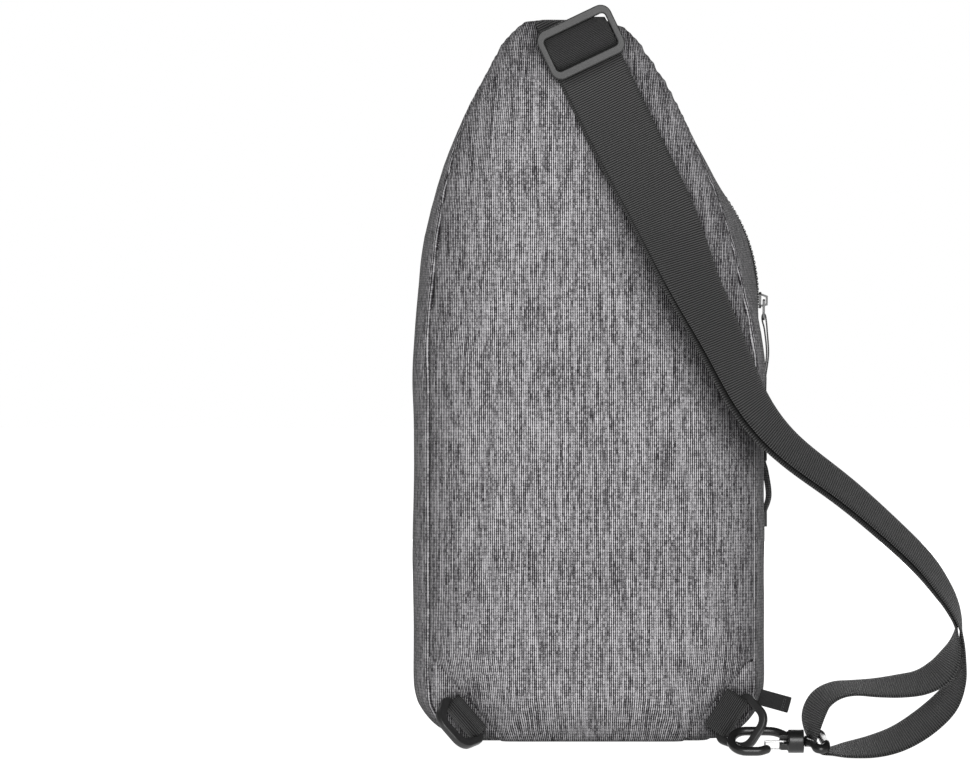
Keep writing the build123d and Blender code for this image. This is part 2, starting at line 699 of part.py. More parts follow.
# The loop end: one ribbon path in the plane of the loop, as wide as the strap
with BuildPart() as strap_loop:
    with BuildSketch(facing(HOOK_Y - STRAP_WIDTH / 2)):
        with BuildLine():
            Spline(
                (207.86, 80.86),
                (214.6, 44.0),
                (190.0, 11.5),
                (156.0, -3.4),
                (EYE_BAR + 1.0, HOOK_Z - 5.9),
                tangents=[(0.59, -0.81), (-1, 0.12)],
            )
            ThreePointArc(
                (EYE_BAR + 1.0, HOOK_Z - 5.9), (EYE_BAR - 5.4, HOOK_Z), (EYE_BAR + 1.0, HOOK_Z + 5.9)
            )
            Spline(
                (EYE_BAR + 1.0, HOOK_Z + 5.9),
                (156.0, 34.0),
                (192.0, 42.5),
                (205.26, 78.98),
                tangents=[(1, 0.9), (-0.59, 0.81)],
            )
            Line((205.26, 78.98), (207.86, 80.86))
        make_face()
        with BuildLine():
            Spline(
                (209.0, 74.0),
                (212.8, 44.6),
                (189.2, 13.1),
                (155.6, -1.8),
                (EYE_BAR + 1.4, HOOK_Z - 4.2),
                tangents=[(0.1, -1), (-1, 0.12)],
            )
            ThreePointArc(
                (EYE_BAR + 1.4, HOOK_Z - 4.2), (EYE_BAR - 3.6, HOOK_Z), (EYE_BAR + 1.4, HOOK_Z + 4.2)
            )
            Spline(
                (EYE_BAR + 1.4, HOOK_Z + 4.2),
                (157.0, 32.4),
                (193.2, 41.0),
                (209.0, 74.0),
                tangents=[(1, 0.9), (0.1, 1)],
            )
        make_face(mode=Mode.SUBTRACT)
    extrude(amount=-STRAP_WIDTH)
save(strap_loop, "strap_loop")

# Tri-glide over the strap, with the strap end turned round its middle bar
GLIDE_TURN = 25.5
glide_along = (math.cos(math.radians(GLIDE_TURN)), 0, math.sin(math.radians(GLIDE_TURN)))
glide_plane = Plane(origin=(-4.6, -50.7, 401.5), x_dir=glide_along, z_dir=(0, -1, 0))
GLIDE_THICK = 4.0


def glide_shape():
    with BuildSketch() as face:
        RectangleRounded(45.4, 29.3, 6.5)
        RectangleRounded(39.4, 20.6, 2.0, mode=Mode.SUBTRACT)
    extrude(face.sketch, amount=GLIDE_THICK)
    with BuildSketch(Plane.XY.offset(0.6)) as face:
        Rectangle(42.0, 3.6)
    extrude(face.sketch, amount=2.4)


def hump_shape():
    with BuildSketch(Plane.YZ.offset(-STRAP_WIDTH / 2)) as face:
        with Locations((0, 1.8)):
            SlotOverall(9.4, 5.4)
            SlotOverall(6.2, 2.7, mode=Mode.SUBTRACT)
    extrude(face.sketch, amount=STRAP_WIDTH)


save(placed(glide_shape, glide_plane), "tri_glide")
save(placed(hump_shape, glide_plane), "strap_end")

# Anchor webbing sewn in at the crown, and the folded ribbon tab on the right seam
ANCHOR_LEFT = -33.4
ANCHOR_RIGHT = 5.4
CROWN_TOP = SEAM["crown"] + 3.2
with BuildPart() as strap_anchor:
    with BuildSketch(facing(BACK_FACE)):
        with BuildLine():
            Polyline((-26.2, 401.2), (ANCHOR_RIGHT, CROWN_TOP), (ANCHOR_LEFT, CROWN_TOP), close=True)
        make_face()
    extrude(amount=STRAP_THICK)
    with BuildSketch(Plane.XY.offset(SEAM["crown"])):
        with Locations(((ANCHOR_LEFT + ANCHOR_RIGHT) / 2, -41.5)):
            Rectangle(ANCHOR_RIGHT - ANCHOR_LEFT, 7.0)
    extrude(amount=CROWN_TOP - SEAM["crown"])
save(strap_anchor, "strap_anchor")

TAB_TURN = -16.0
tab_plane = Plane(
    origin=(107.0, -44.0, 23.4),
    x_dir=(math.cos(math.radians(TAB_TURN)), 0, math.sin(math.radians(TAB_TURN))),
    z_dir=(0, -1, 0),
)


def tab_shape():
    with BuildSketch(Plane.XZ.offset(-5.0)) as face:
        with Locations((0, 0)):
            SlotOverall(18.0, 2.2)
        with Locations((0.4, 0)):
            SlotOverall(15.0, 0.5, mode=Mode.SUBTRACT)
    extrude(face.sketch, amount=10.0)


save(placed(tab_shape, tab_plane), "ribbon_tab")
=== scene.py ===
"""Looks for the sling bag: woven cloth shell, padded back, webbing strap and moulded hardware."""

import math
from contextlib import contextmanager

import bmesh
import bpy
import numpy as np
from mathutils import Matrix, Vector, noise


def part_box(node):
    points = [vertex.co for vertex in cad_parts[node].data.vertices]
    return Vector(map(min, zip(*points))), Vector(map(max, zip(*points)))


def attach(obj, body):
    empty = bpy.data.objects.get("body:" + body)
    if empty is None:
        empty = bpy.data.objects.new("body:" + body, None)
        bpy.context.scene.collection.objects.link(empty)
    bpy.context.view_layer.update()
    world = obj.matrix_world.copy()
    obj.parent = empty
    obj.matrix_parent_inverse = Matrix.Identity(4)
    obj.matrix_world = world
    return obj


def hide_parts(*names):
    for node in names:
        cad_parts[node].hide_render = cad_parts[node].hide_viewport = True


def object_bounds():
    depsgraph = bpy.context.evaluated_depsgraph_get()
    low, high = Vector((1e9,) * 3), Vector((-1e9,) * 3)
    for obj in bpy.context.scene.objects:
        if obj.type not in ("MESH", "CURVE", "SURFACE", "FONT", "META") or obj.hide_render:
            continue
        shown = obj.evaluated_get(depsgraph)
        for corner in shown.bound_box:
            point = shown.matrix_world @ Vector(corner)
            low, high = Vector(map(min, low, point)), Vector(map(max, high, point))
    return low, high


MM = 0.001

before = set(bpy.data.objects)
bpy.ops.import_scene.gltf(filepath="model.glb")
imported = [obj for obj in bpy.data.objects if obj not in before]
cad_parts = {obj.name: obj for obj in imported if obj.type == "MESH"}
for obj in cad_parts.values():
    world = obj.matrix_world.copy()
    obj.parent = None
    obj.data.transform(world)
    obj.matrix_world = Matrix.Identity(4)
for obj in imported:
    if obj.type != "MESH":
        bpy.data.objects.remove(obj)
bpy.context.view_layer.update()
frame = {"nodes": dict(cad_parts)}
nodes = frame["nodes"]


def low(node, axis):
    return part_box(node)[0][axis]


def high(node, axis):
    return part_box(node)[1][axis]


# ---------------------------------------------------------------- outlines (metres, x and z)
SEAM_Y = high("corner_patch_left", 1)
MIDDLE_Y = -22 * MM
ZIP_BACK = low("main_tape_back", 1)
ZIP_FRONT = high("main_tape_front", 1)
ZIP_Y = (ZIP_BACK + ZIP_FRONT) / 2
ARCH = 99.5 * MM
ARCH_Z = 257 * MM
FLOOR = 1.5 * MM
CORNER = 31 * MM

SEAM = {
    "left": 92.6, "right": 95.4, "shoulder": (240.0, 225.0),
    "left_points": [(-84.5, 314.0), (-71.5, 361.0), (-59.5, 386.0)],
    "right_points": [(80.5, 297.0), (61.5, 346.0), (47.5, 376.0)],
    "crown": 415.8, "crown_ends": (-41.0, 16.0), "corner": 24.0,
}
MIDDLE = {
    "left": 102.3, "right": 102.0, "shoulder": (225.0, 225.0),
    "left_points": [(-94.0, 300.0), (-75.5, 350.0)], "right_points": [(85.0, 298.0), (62.5, 344.0)],
    "crown": 398.0, "crown_ends": (-39.0, 16.0),
}


def smooth_path(points, count):
    """Catmull-Rom through the points, resampled evenly by length."""
    p = np.array(points, float)
    ends = np.vstack([2 * p[0] - p[1], p, 2 * p[-1] - p[-2]])
    fine = []
    for i in range(1, len(ends) - 2):
        a, b, c, d = ends[i - 1 : i + 3]
        for t in np.linspace(0, 1, 24, endpoint=False):
            bend = (2 * a - 5 * b + 4 * c - d) * t**2 + (3 * b - a - 3 * c + d) * t**3
            fine.append(0.5 * (2 * b + (c - a) * t + bend))
    fine.append(p[-1])
    return resample(np.array(fine), count)


def distance_along(points):
    return np.concatenate([[0], np.cumsum(np.linalg.norm(np.diff(points, axis=0)[:, :3], axis=1))])


def resample(path, count, closed=False):
    p = np.vstack([path, path[:1]]) if closed else path
    along = distance_along(p)
    want = np.linspace(0, along[-1], count + 1)[:-1] if closed else np.linspace(0, along[-1], count)
    return np.stack([np.interp(want, along, p[:, k]) for k in range(p.shape[1])], axis=1)


def arc(cx, cz, radius, start, sweep, count=14):
    angles = np.radians(np.linspace(start, start + sweep, count))
    return [(cx + radius * math.cos(a), cz + radius * math.sin(a)) for a in angles]


def teardrop(shape, count):
    """Closed outline from the bottom centre, anticlockwise as seen from the wearer's side."""
    left, right = -shape["left"] * MM, shape["right"] * MM
    floor = shape.get("floor", FLOOR / MM) * MM
    corner = shape.get("corner", CORNER / MM) * MM
    start = [(0.0, floor)]
    start += arc(right - corner, floor + corner, corner, -90, 90)
    if shape.get("arch"):
        top = arc(0, ARCH_Z, ARCH, 0, 180, 60)
    else:
        rp = [(x * MM, z * MM) for x, z in shape["right_points"]]
        lp = [(x * MM, z * MM) for x, z in shape["left_points"]]
        crown = shape["crown"] * MM
        ends = [e * MM for e in shape["crown_ends"]]
        rise = 9.35 * MM
        top = [(right, shape["shoulder"][1] * MM - 30 * MM), (right, shape["shoulder"][1] * MM)]
        top += rp + [(ends[1] + 11 * MM, crown - rise), (ends[1] - 4 * MM, crown)]
        top += [(-12 * MM, crown + 1 * MM)]
        top += [(ends[0] + 6 * MM, crown), (ends[0] - 7 * MM, crown - rise)] + lp[::-1]
        top += [(left, shape["shoulder"][0] * MM), (left, shape["shoulder"][0] * MM - 30 * MM)]
        top = [tuple(q) for q in smooth_path(top, 160)]
    finish = arc(left + corner, floor + corner, corner, 180, 90)
    return resample(np.array(start + top + finish), count, closed=True)


FRONT = {"left": 99.5, "right": 99.5, "arch": True}


def inset_outline(outline, distance):
    """Moves every point inwards along its own normal."""
    before, after = np.roll(outline, 1, axis=0), np.roll(outline, -1, axis=0)
    run = after - before
    run /= np.linalg.norm(run, axis=1)[:, None]
    inward = np.stack([-run[:, 1], run[:, 0]], axis=1)
    moved = outline + inward * distance
    for _round in range(int(distance / MM)):
        moved = (np.roll(moved, 1, axis=0) + 2 * moved + np.roll(moved, -1, axis=0)) / 4
    return moved


# ---------------------------------------------------------------- mesh helpers
def new_object(name, data):
    obj = bpy.data.objects.new(name, data)
    bpy.context.scene.collection.objects.link(obj)
    return obj


def smooth_shade(obj, smooth=True):
    for polygon in obj.data.polygons:
        polygon.use_smooth = smooth


def mesh_object(name, verts, faces, smooth=True):
    mesh = bpy.data.meshes.new(name)
    mesh.from_pydata([tuple(float(c) for c in v) for v in verts], [], [tuple(f) for f in faces])
    mesh.validate()
    obj = new_object(name, mesh)
    smooth_shade(obj, smooth)
    return obj


def grid_faces(rows, columns, wrap=False, flip=False):
    faces = []
    for r in range(rows - 1):
        for c in range(columns if wrap else columns - 1):
            d = (c + 1) % columns
            quad = [r * columns + c, r * columns + d, (r + 1) * columns + d, (r + 1) * columns + c]
            faces.append(quad[::-1] if flip else quad)
    return faces


def loft_rings(name, rings):
    """Closed skin over rings of points, capped at both ends."""
    columns = len(rings[0])
    base = (len(rings) - 1) * columns
    faces = grid_faces(len(rings), columns, wrap=True)
    faces += [list(range(columns))[::-1], [base + i for i in range(columns)]]
    obj = mesh_object(name, np.vstack(rings), faces)
    fix_normals(obj)
    return obj


@contextmanager
def editing(obj):
    """Opens the mesh for bmesh work and writes it back."""
    bm = bmesh.new()
    bm.from_mesh(obj.data)
    yield bm
    bm.to_mesh(obj.data)
    bm.free()


def fix_normals(obj):
    with editing(obj) as bm:
        bmesh.ops.recalc_face_normals(bm, faces=bm.faces)


def apply_modifiers(obj):
    graph = bpy.context.evaluated_depsgraph_get()
    mesh = bpy.data.meshes.new_from_object(obj.evaluated_get(graph))
    obj.modifiers.clear()
    old = obj.data
    obj.data = mesh
    bpy.data.meshes.remove(old)
    smooth_shade(obj)


def coords(obj):
    data = np.empty(len(obj.data.vertices) * 3)
    obj.data.vertices.foreach_get("co", data)
    return data.reshape(-1, 3)


def set_coords(obj, data):
    obj.data.vertices.foreach_set("co", np.ascontiguousarray(data).ravel())
    obj.data.update()


def normals(obj):
    data = np.empty(len(obj.data.vertices) * 3)
    obj.data.vertex_normals.foreach_get("vector", data)
    return data.reshape(-1, 3)


def modify(obj, kind, **values):
    """Adds one modifier with these settings and applies it."""
    modifier = obj.modifiers.new(kind.lower(), kind)
    for key, value in values.items():
        setattr(modifier, key, value)
    apply_modifiers(obj)


def remesh(obj, voxel):
    modify(obj, "REMESH", mode="VOXEL", voxel_size=voxel)


def subdivide(obj):
    modify(obj, "SUBSURF", levels=1, render_levels=1)


def relax(obj, repeat):
    modify(obj, "SMOOTH", factor=0.5, iterations=repeat)


def thicken(obj, thickness, offset=0):
    modify(obj, "SOLIDIFY", thickness=thickness, offset=offset)


CLOTH_SETTINGS = {
    "quality": 6, "mass": 0.25, "shear_stiffness": 5, "bending_stiffness": 0.6, "use_pressure": True,
    "vertex_group_mass": "pin", "pin_stiffness": 1.0, "shrink_min": 0.0,
}
CLOTH_FRAMES = 20


def puff(obj, pin, cap, pressure, stiff):
    """Cloth pressure swells the piece; pinned points stay and no point moves further than cap."""
    start = coords(obj)
    group = obj.vertex_groups.new(name="pin")
    for index in np.nonzero(pin)[0]:
        group.add([int(index)], 1.0, "REPLACE")
    modifier = obj.modifiers.new("cloth", "CLOTH")
    settings = modifier.settings
    for key, value in CLOTH_SETTINGS.items():
        setattr(settings, key, value)
    settings.tension_stiffness = stiff
    settings.compression_stiffness = stiff
    settings.uniform_pressure_force = pressure
    settings.effector_weights.gravity = 0
    modifier.collision_settings.use_collision = False
    modifier.point_cache.frame_start = 1
    modifier.point_cache.frame_end = CLOTH_FRAMES
    for number in range(1, CLOTH_FRAMES + 1):
        bpy.context.scene.frame_set(number)
    apply_modifiers(obj)
    bpy.context.scene.frame_set(1)
    moved = coords(obj) - start
    length = np.linalg.norm(moved, axis=1)
    scale = np.minimum(1.0, cap / np.maximum(length, 1e-9))
    set_coords(obj, start + moved * scale[:, None])


def weave(obj, across, along, painted_shade=0.0):
    """Stores where each point lies on the flat cloth, in metres, and how much painted shade darkens the
    cloth there.
    """
    values = np.stack(np.broadcast_arrays(across, along, painted_shade), axis=1)
    layer = obj.data.attributes.new("weave", "FLOAT_VECTOR", "POINT")
    layer.data.foreach_set("vector", np.ascontiguousarray(values, dtype=np.float32).ravel())


def keep_faces(obj, test):
    with editing(obj) as bm:
        gone = [f for f in bm.faces if not test(f.calc_center_median())]
        bmesh.ops.delete(bm, geom=gone, context="FACES")
    smooth_shade(obj)


def cut(obj, point, normal):
    """Adds a clean edge line where the plane meets the mesh."""
    with editing(obj) as bm:
        geometry = bm.verts[:] + bm.edges[:] + bm.faces[:]
        bmesh.ops.bisect_plane(bm, geom=geometry, dist=1e-6, plane_co=point, plane_no=normal)


def clone(obj, name):
    copy = obj.copy()
    copy.data = obj.data.copy()
    copy.name = name
    bpy.context.scene.collection.objects.link(copy)
    return copy


def noise3(points, size, seed):
    """Smooth value noise, repeatable, about -1 to 1."""
    shift = Vector((seed * 7.13, seed * 3.71, seed * 5.37))
    return np.array([noise.noise(Vector(p) / size + shift) for p in points])


# ---------------------------------------------------------------- materials
def material(name):
    made = bpy.data.materials.new(name)
    made.use_nodes = True
    made.node_tree.nodes.clear()
    return made, Nodes(made.node_tree)


class Nodes:
    """Short way to lay out shader nodes."""

    def __init__(self, tree):
        self.tree = tree

    def add(self, kind, **values):
        node = self.tree.nodes.new(kind)
        for key, value in values.items():
            if hasattr(node, key):
                setattr(node, key, value)
            else:
                node.inputs[key.replace("_", " ")].default_value = value
        return node

    def link(self, source, target):
        self.tree.links.new(source, target)

    def math(self, operation, a, b=None, c=None, clamp=False):
        node = self.add("ShaderNodeMath", operation=operation, use_clamp=clamp)
        for index, item in enumerate((a, b, c)):
            if item is None:
                continue
            if isinstance(item, (int, float)):
                node.inputs[index].default_value = item
            else:
                self.link(item, node.inputs[index])
        return node.outputs[0]

    def noise(self, vector, scale, detail=2.0, rough=0.5):
        node = self.add("ShaderNodeTexNoise")
        for key, value in (("Scale", scale), ("Detail", detail), ("Roughness", rough), ("Distortion", 0.0)):
            node.inputs[key].default_value = value
        self.link(vector, node.inputs["Vector"])
        return node.outputs["Fac"]

    def stretch(self, vector, scale):
        node = self.add("ShaderNodeVectorMath", operation="MULTIPLY")
        self.link(vector, node.inputs[0])
        node.inputs[1].default_value = scale
        return node.outputs[0]

    def split(self, vector):
        node = self.add("ShaderNodeSeparateXYZ")
        self.link(vector, node.inputs[0])
        return node.outputs

    def place(self, kind="weave"):
        """Where the point lies: on the flat cloth, or in the object's own space."""
        if kind == "weave":
            return self.add("ShaderNodeAttribute", attribute_name="weave").outputs["Vector"]
        return self.add("ShaderNodeTexCoord").outputs["Object"]

    def join(self, x, y):
        node = self.add("ShaderNodeCombineXYZ")
        self.link(x, node.inputs[0])
        self.link(y, node.inputs[1])
        return node.outputs[0]

    def white(self, vector):
        node = self.add("ShaderNodeTexWhiteNoise", noise_dimensions="2D")
        self.link(vector, node.inputs["Vector"])
        return node.outputs["Value"]

    def ramp(self, value, stops):
        node = self.add("ShaderNodeValToRGB")
        while len(node.color_ramp.elements) < len(stops):
            node.color_ramp.elements.new(0.5)
        for element, (place, colour) in zip(node.color_ramp.elements, stops):
            element.position = place
            element.color = (*colour, 1)
        self.link(value, node.inputs[0])
        return node.outputs[0]

    def shaded(self, colour, amount, distance=34 * MM, painted_shade=None):
        """Painted shade: darker where the surface turns away, and where soft light can't reach beside
        straps, times any extra painted shade given.
        """
        edge = self.add("ShaderNodeLayerWeight", Blend=0.5).outputs["Facing"]
        shelter = self.add("ShaderNodeAmbientOcclusion", samples=6)
        shelter.inputs["Distance"].default_value = distance
        reach = self.math("MULTIPLY_ADD", self.math("POWER", shelter.outputs["AO"], 1.8), 0.85, 0.15)
        if painted_shade is not None:
            reach = self.math("MULTIPLY", reach, painted_shade)
        scaled = self.add("ShaderNodeVectorMath", operation="SCALE")
        self.link(colour, scaled.inputs[0])
        level = self.math("MULTIPLY", self.math("MULTIPLY_ADD", edge, -amount, 1.0), reach)
        self.link(level, scaled.inputs["Scale"])
        return scaled.outputs[0]

    def finish(self, colour, rough, height=None, depth=0.0002, sheen=0.0, metal=0.0, spec=0.5):
        shader = self.add("ShaderNodeBsdfPrincipled")
        for source, socket in ((colour, "Base Color"), (rough, "Roughness")):
            if isinstance(source, (int, float, tuple)):
                shader.inputs[socket].default_value = source
            else:
                self.link(source, shader.inputs[socket])
        shader.inputs["Metallic"].default_value = metal
        shader.inputs["Specular IOR Level"].default_value = spec
        shader.inputs["Sheen Weight"].default_value = sheen
        shader.inputs["Sheen Roughness"].default_value = 0.5
        if height is not None:
            bump = self.add("ShaderNodeBump")
            bump.inputs["Strength"].default_value = 1.0
            bump.inputs["Distance"].default_value = depth
            self.link(height, bump.inputs["Height"])
            self.link(bump.outputs[0], shader.inputs["Normal"])
        out = self.add("ShaderNodeOutputMaterial")
        self.link(shader.outputs[0], out.inputs[0])
        return shader


def linear(level):
    """sRGB 0-255 grey level or triple to linear."""
    values = level if isinstance(level, tuple) else (level, level, level)
    return tuple((v / 255 / 12.92) if v < 10 else (((v / 255) + 0.055) / 1.055) ** 2.4 for v in values)


WARP_PITCH = 1.2 * MM
WEFT_PITCH = 1.72 * MM
END_PITCH = 0.9 * MM


def cloth_material(name, bright=1.0):
    """Melange plain weave: slubs run along single warp yarns, shorter ones along the weft between them."""
    made, n = material(name)
    place = n.place()
    # seam here is the weave's third value: the painted shade that darkens the cloth towards the pad's side
    # seams
    across, along, seam = n.split(place)

    def yarns(source, pitch):
        count = n.math("DIVIDE", source, pitch)
        crest = n.math("MULTIPLY_ADD", n.math("COSINE", n.math("MULTIPLY", count, 2 * math.pi)), 0.5, 0.5)
        return crest, n.math("FLOOR", n.math("ADD", count, 0.5))

    warp, end = yarns(across, WARP_PITCH)
    weft, pick = yarns(along, WEFT_PITCH)
    slub = n.noise(n.join(n.math("MULTIPLY", end, 7.31), n.math("DIVIDE", along, 16 * MM)), 1.0, 4.0, 0.7)
    thin = n.noise(n.join(n.math("DIVIDE", across, 5 * MM), n.math("MULTIPLY", pick, 5.17)), 1.0, 2.0, 0.6)
    streak = n.noise(n.stretch(place, (640, 26, 1)), 1.0, 2.0, 0.55)
    cloud = n.noise(n.stretch(place, (60, 22, 1)), 1.0, 3.0, 0.55)
    fibre = n.noise(n.stretch(place, (3600, 1500, 1)), 1.0, 1.0, 0.5)
    crossing = n.white(n.join(end, pick))
    gap = n.math("SUBTRACT", 1.0, warp)
    crest = n.math("MULTIPLY_ADD", warp, 0.7, 0.3)
    value = n.math("MULTIPLY_ADD", n.math("MULTIPLY", n.math("SUBTRACT", slub, 0.5), 1.8), crest, 0.47)
    value = n.math("MULTIPLY_ADD", n.math("MULTIPLY", n.math("SUBTRACT", thin, 0.5), 0.6), gap, value)
    parts = ((streak, 1.05), (cloud, 0.25), (fibre, 1.0), (crossing, 0.36), (warp, 0.9), (weft, 0.12))
    for source, weight in parts:
        value = n.math("MULTIPLY_ADD", n.math("SUBTRACT", source, 0.5), weight, value)
    hole = n.math("MULTIPLY", gap, n.math("SUBTRACT", 1.0, weft))
    value = n.math("MULTIPLY_ADD", n.math("SUBTRACT", hole, 0.25), -0.24, value, clamp=True)
    shades = [(0.0, 34), (0.3, 80), (0.5, 126), (0.7, 174), (1.0, 236)]
    stops = [(p, tuple(bright * c for c in linear((s, s - 2, s + 1)))) for p, s in shades]
    # Painted shade: the colour darkens by up to 0.42 where the weave's third value is 1; shaded() adds
    # painted shade where the cloth turns away and in hollows
    painted_shade = n.math("MULTIPLY_ADD", seam, -0.42, 1.0)
    colour = n.shaded(n.ramp(value, stops), 0.8, painted_shade=painted_shade)
    height = n.math("MULTIPLY_ADD", hole, -0.5, n.math("MULTIPLY", value, 0.5))
    n.finish(colour, 0.93, height, 0.00022, sheen=0.1, spec=0.15)
    return made


def webbing_material(name, dark, light, pitch, depth):
    """Ribbed webbing: ribs run across the width, small ends inside each rib, plain selvedges."""
    made, n = material(name)
    place = n.place()
    across, along, _ = n.split(place)

    def ribs(phase):
        return n.math("MULTIPLY_ADD", n.math("SINE", phase), 0.5, 0.5)

    wobble = n.noise(n.stretch(place, (90, 90, 1)), 1.0, 2.0, 0.5)
    phase = n.math("MULTIPLY", along, 2 * math.pi / pitch)
    rib = ribs(n.math("ADD", phase, n.math("MULTIPLY", wobble, 1.2)))
    ends = ribs(n.math("MULTIPLY", across, 2 * math.pi / END_PITCH))
    fuzz = n.noise(n.stretch(place, (1800, 1800, 1)), 1.0, 2.0, 0.6)
    value = n.math("MULTIPLY", n.math("POWER", rib, 1.2), n.math("MULTIPLY_ADD", ends, 0.25, 0.75))
    value = n.math("MULTIPLY_ADD", n.math("SUBTRACT", fuzz, 0.5), 0.55, value, clamp=True)
    # Painted shade: darker where the webbing turns away and in hollows within 7 mm
    colour = n.shaded(n.ramp(value, [(0.0, linear(dark)), (1.0, linear(light))]), 0.1, 7 * MM)
    height = n.math("ADD", n.math("MULTIPLY", rib, 0.8), n.math("MULTIPLY", ends, 0.2))
    n.finish(colour, 0.78, height, depth, sheen=0.08, spec=0.3)
    return made


def plastic_material(name, level, rough):
    """Moulded plastic: fine mould grain, faint scuffs and paler worn patches."""
    made, n = material(name)
    place = n.place("object")
    fine = n.noise(place, 2600, 3.0, 0.6)
    patch = n.noise(place, 60, 3.0, 0.6)
    colour = n.ramp(patch, [(0.3, linear(level)), (0.75, linear(level + 8))])
    roughness = n.math("MULTIPLY_ADD", fine, 0.16, rough - 0.08)
    n.finish(colour, roughness, fine, 0.04 * MM, spec=0.45)
    return made


def metal_material(name, level, rough, metal, brushed=0.00002):
    """Drawn or die-cast metal: faint brushing along the piece, duller patches where it is handled."""
    made, n = material(name)
    place = n.place("object")
    brush = n.noise(n.stretch(place, (1500, 1500, 300)), 1.0, 2.0, 0.5)
    patch = n.noise(place, 90, 3.0, 0.6)
    colour = n.ramp(patch, [(0.3, linear(level)), (0.8, linear(min(255, level + 18)))])
    n.finish(colour, n.math("MULTIPLY_ADD", brush, 0.2, rough - 0.1), brush, brushed, metal=metal)
    return made


def plain_weave_material(name, level, pitch=0.0007, kind="object"):
    """Simple plain weave for linings, tape and foam faces."""
    made, n = material(name)
    place = n.place(kind)
    split = n.split(place)
    across = split[0]
    along = split[2] if kind == "object" else split[1]
    warp = n.math("SINE", n.math("MULTIPLY", across, 2 * math.pi / pitch))
    weft = n.math("SINE", n.math("MULTIPLY", along, 2 * math.pi / pitch))
    thread = n.math("MULTIPLY_ADD", n.math("MULTIPLY", warp, weft), 0.5, 0.5)
    patch = n.noise(place, 900, 2.0, 0.6)
    value = n.math("MULTIPLY_ADD", patch, 0.6, n.math("MULTIPLY", thread, 0.4), clamp=True)
    colour = n.ramp(value, [(0.2, linear(max(level - 14, 4))), (0.9, linear(level + 16))])
    n.finish(colour, 0.9, thread, 0.00015, sheen=0.1, spec=0.25)
    return made


M = {
    "cloth": cloth_material("heather_cloth", 0.7),
    "webbing": webbing_material("black_webbing", 2, 88, 0.0013, 0.00045),
    # Painted shade: a darker copy of the strap webbing for the hump, which sits in shade inside the glide's
    # window
    "hump_webbing_painted_shade": webbing_material("hump_webbing_painted_shade", 2, 70, 0.0012, 0.0005),
    "loop_webbing": webbing_material("loop_webbing", 0, 70, 0.0011, 0.0004),
    "tape": plain_weave_material("zip_tape", 40, 0.0008, "weave"),
    "lining": plain_weave_material("lining", 92),
    "foam": plain_weave_material("foam_face", 120, 0.0012),
    "thread": plain_weave_material("thread", 96, 0.0004),
    "dark_thread": plain_weave_material("dark_thread", 34, 0.0004),
    "ribbon": webbing_material("ribbon", 26, 52, 0.0007, 0.00015),
    "cord": webbing_material("pull_cord", 50, 118, 0.0011, 0.0002),
    "hardware": plastic_material("black_hardware", 38, 0.45),
    "ring": plastic_material("ring_plastic", 38, 0.38),
    "hook": plastic_material("hook_plastic", 22, 0.32),
    "tip": plastic_material("cord_tip", 30, 0.5),
    "teeth": plastic_material("zip_teeth", 36, 0.4),
    "zip_metal": metal_material("zip_metal", 60, 0.35, metal=0.7),
    "wire": metal_material("silver_wire", 205, 0.35, metal=0.45, brushed=0.000004),
}


def dress(obj, key, body, slot, *replaced):
    """Gives a piece its material and body, and hides the CAD nodes it stands in for; slot is not used."""
    obj.data.materials.clear()
    obj.data.materials.append(M[key])
    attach(obj, body)
    if replaced:
        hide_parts(*replaced)
    return obj


def dress_node(name, key):
    obj = nodes[name]
    for item in obj.material_slots:
        item.material = M[key]


# ---------------------------------------------------------------- bag shell
COLUMNS = 300
PANEL_RISE = 16 * MM
PANEL_RADIUS = (ARCH**2 + PANEL_RISE**2) / (2 * PANEL_RISE)


def ring_at(outline, y):
    """Points of a flat outline at one depth, or at its own depth for each point."""
    return np.stack([outline[:, 0], np.broadcast_to(y, len(outline)), outline[:, 1]], axis=1)


def shell_rings():
    seam, middle, front = (teardrop(s, COLUMNS) for s in (SEAM, MIDDLE, FRONT))
    rings = []
    for y in np.linspace(SEAM_Y, ZIP_BACK, 11):
        a = (y - MIDDLE_Y) * (y - ZIP_BACK) / ((SEAM_Y - MIDDLE_Y) * (SEAM_Y - ZIP_BACK))
        b = (y - SEAM_Y) * (y - ZIP_BACK) / ((MIDDLE_Y - SEAM_Y) * (MIDDLE_Y - ZIP_BACK))
        c = (y - SEAM_Y) * (y - MIDDLE_Y) / ((ZIP_BACK - SEAM_Y) * (ZIP_BACK - MIDDLE_Y))
        rings.append(ring_at(a * seam + b * middle + c * front, y))
    rings += [ring_at(front, ZIP_Y), ring_at(front, ZIP_FRONT)]
    for depth in (2, 5, 9, 14, 20, 28, 38, 50, 64):
        ring = inset_outline(front, depth * MM)
        swell = PANEL_RISE * (1 - math.exp(-depth / 9.0))
        plan = PANEL_RISE - ring[:, 0] ** 2 / (2 * PANEL_RADIUS)
        rings.append(ring_at(ring, ZIP_FRONT + np.minimum(swell, plan - 0.3 * MM)))
    return rings


def build_shell():
    shell = loft_rings("shell", shell_rings())
    remesh(shell, 4.0 * MM)
    relax(shell, 3)
    place = coords(shell)
    band = (place[:, 1] > ZIP_BACK - 2 * MM) & (place[:, 1] < ZIP_FRONT + 2 * MM)
    back = place[:, 1] < SEAM_Y + 2 * MM
    base = place[:, 2] < 7 * MM
    puff(shell, band | back | base, 5 * MM, pressure=1.5, stiff=10)
    subdivide(shell)
    return shell


def wrinkle(obj, amount, size, seed, limit=None):
    """Soft uneven swelling along the normals; limit fades it over the piece."""
    place = coords(obj)
    push = noise3(place, size, seed) * amount
    if limit is not None:
        push = push * limit(place)
    set_coords(obj, place + normals(obj) * push[:, None])


def fade(value, start, width):
    """0 up to start, rising evenly to 1 over width."""
    return np.clip((value - start) / width, 0, 1)


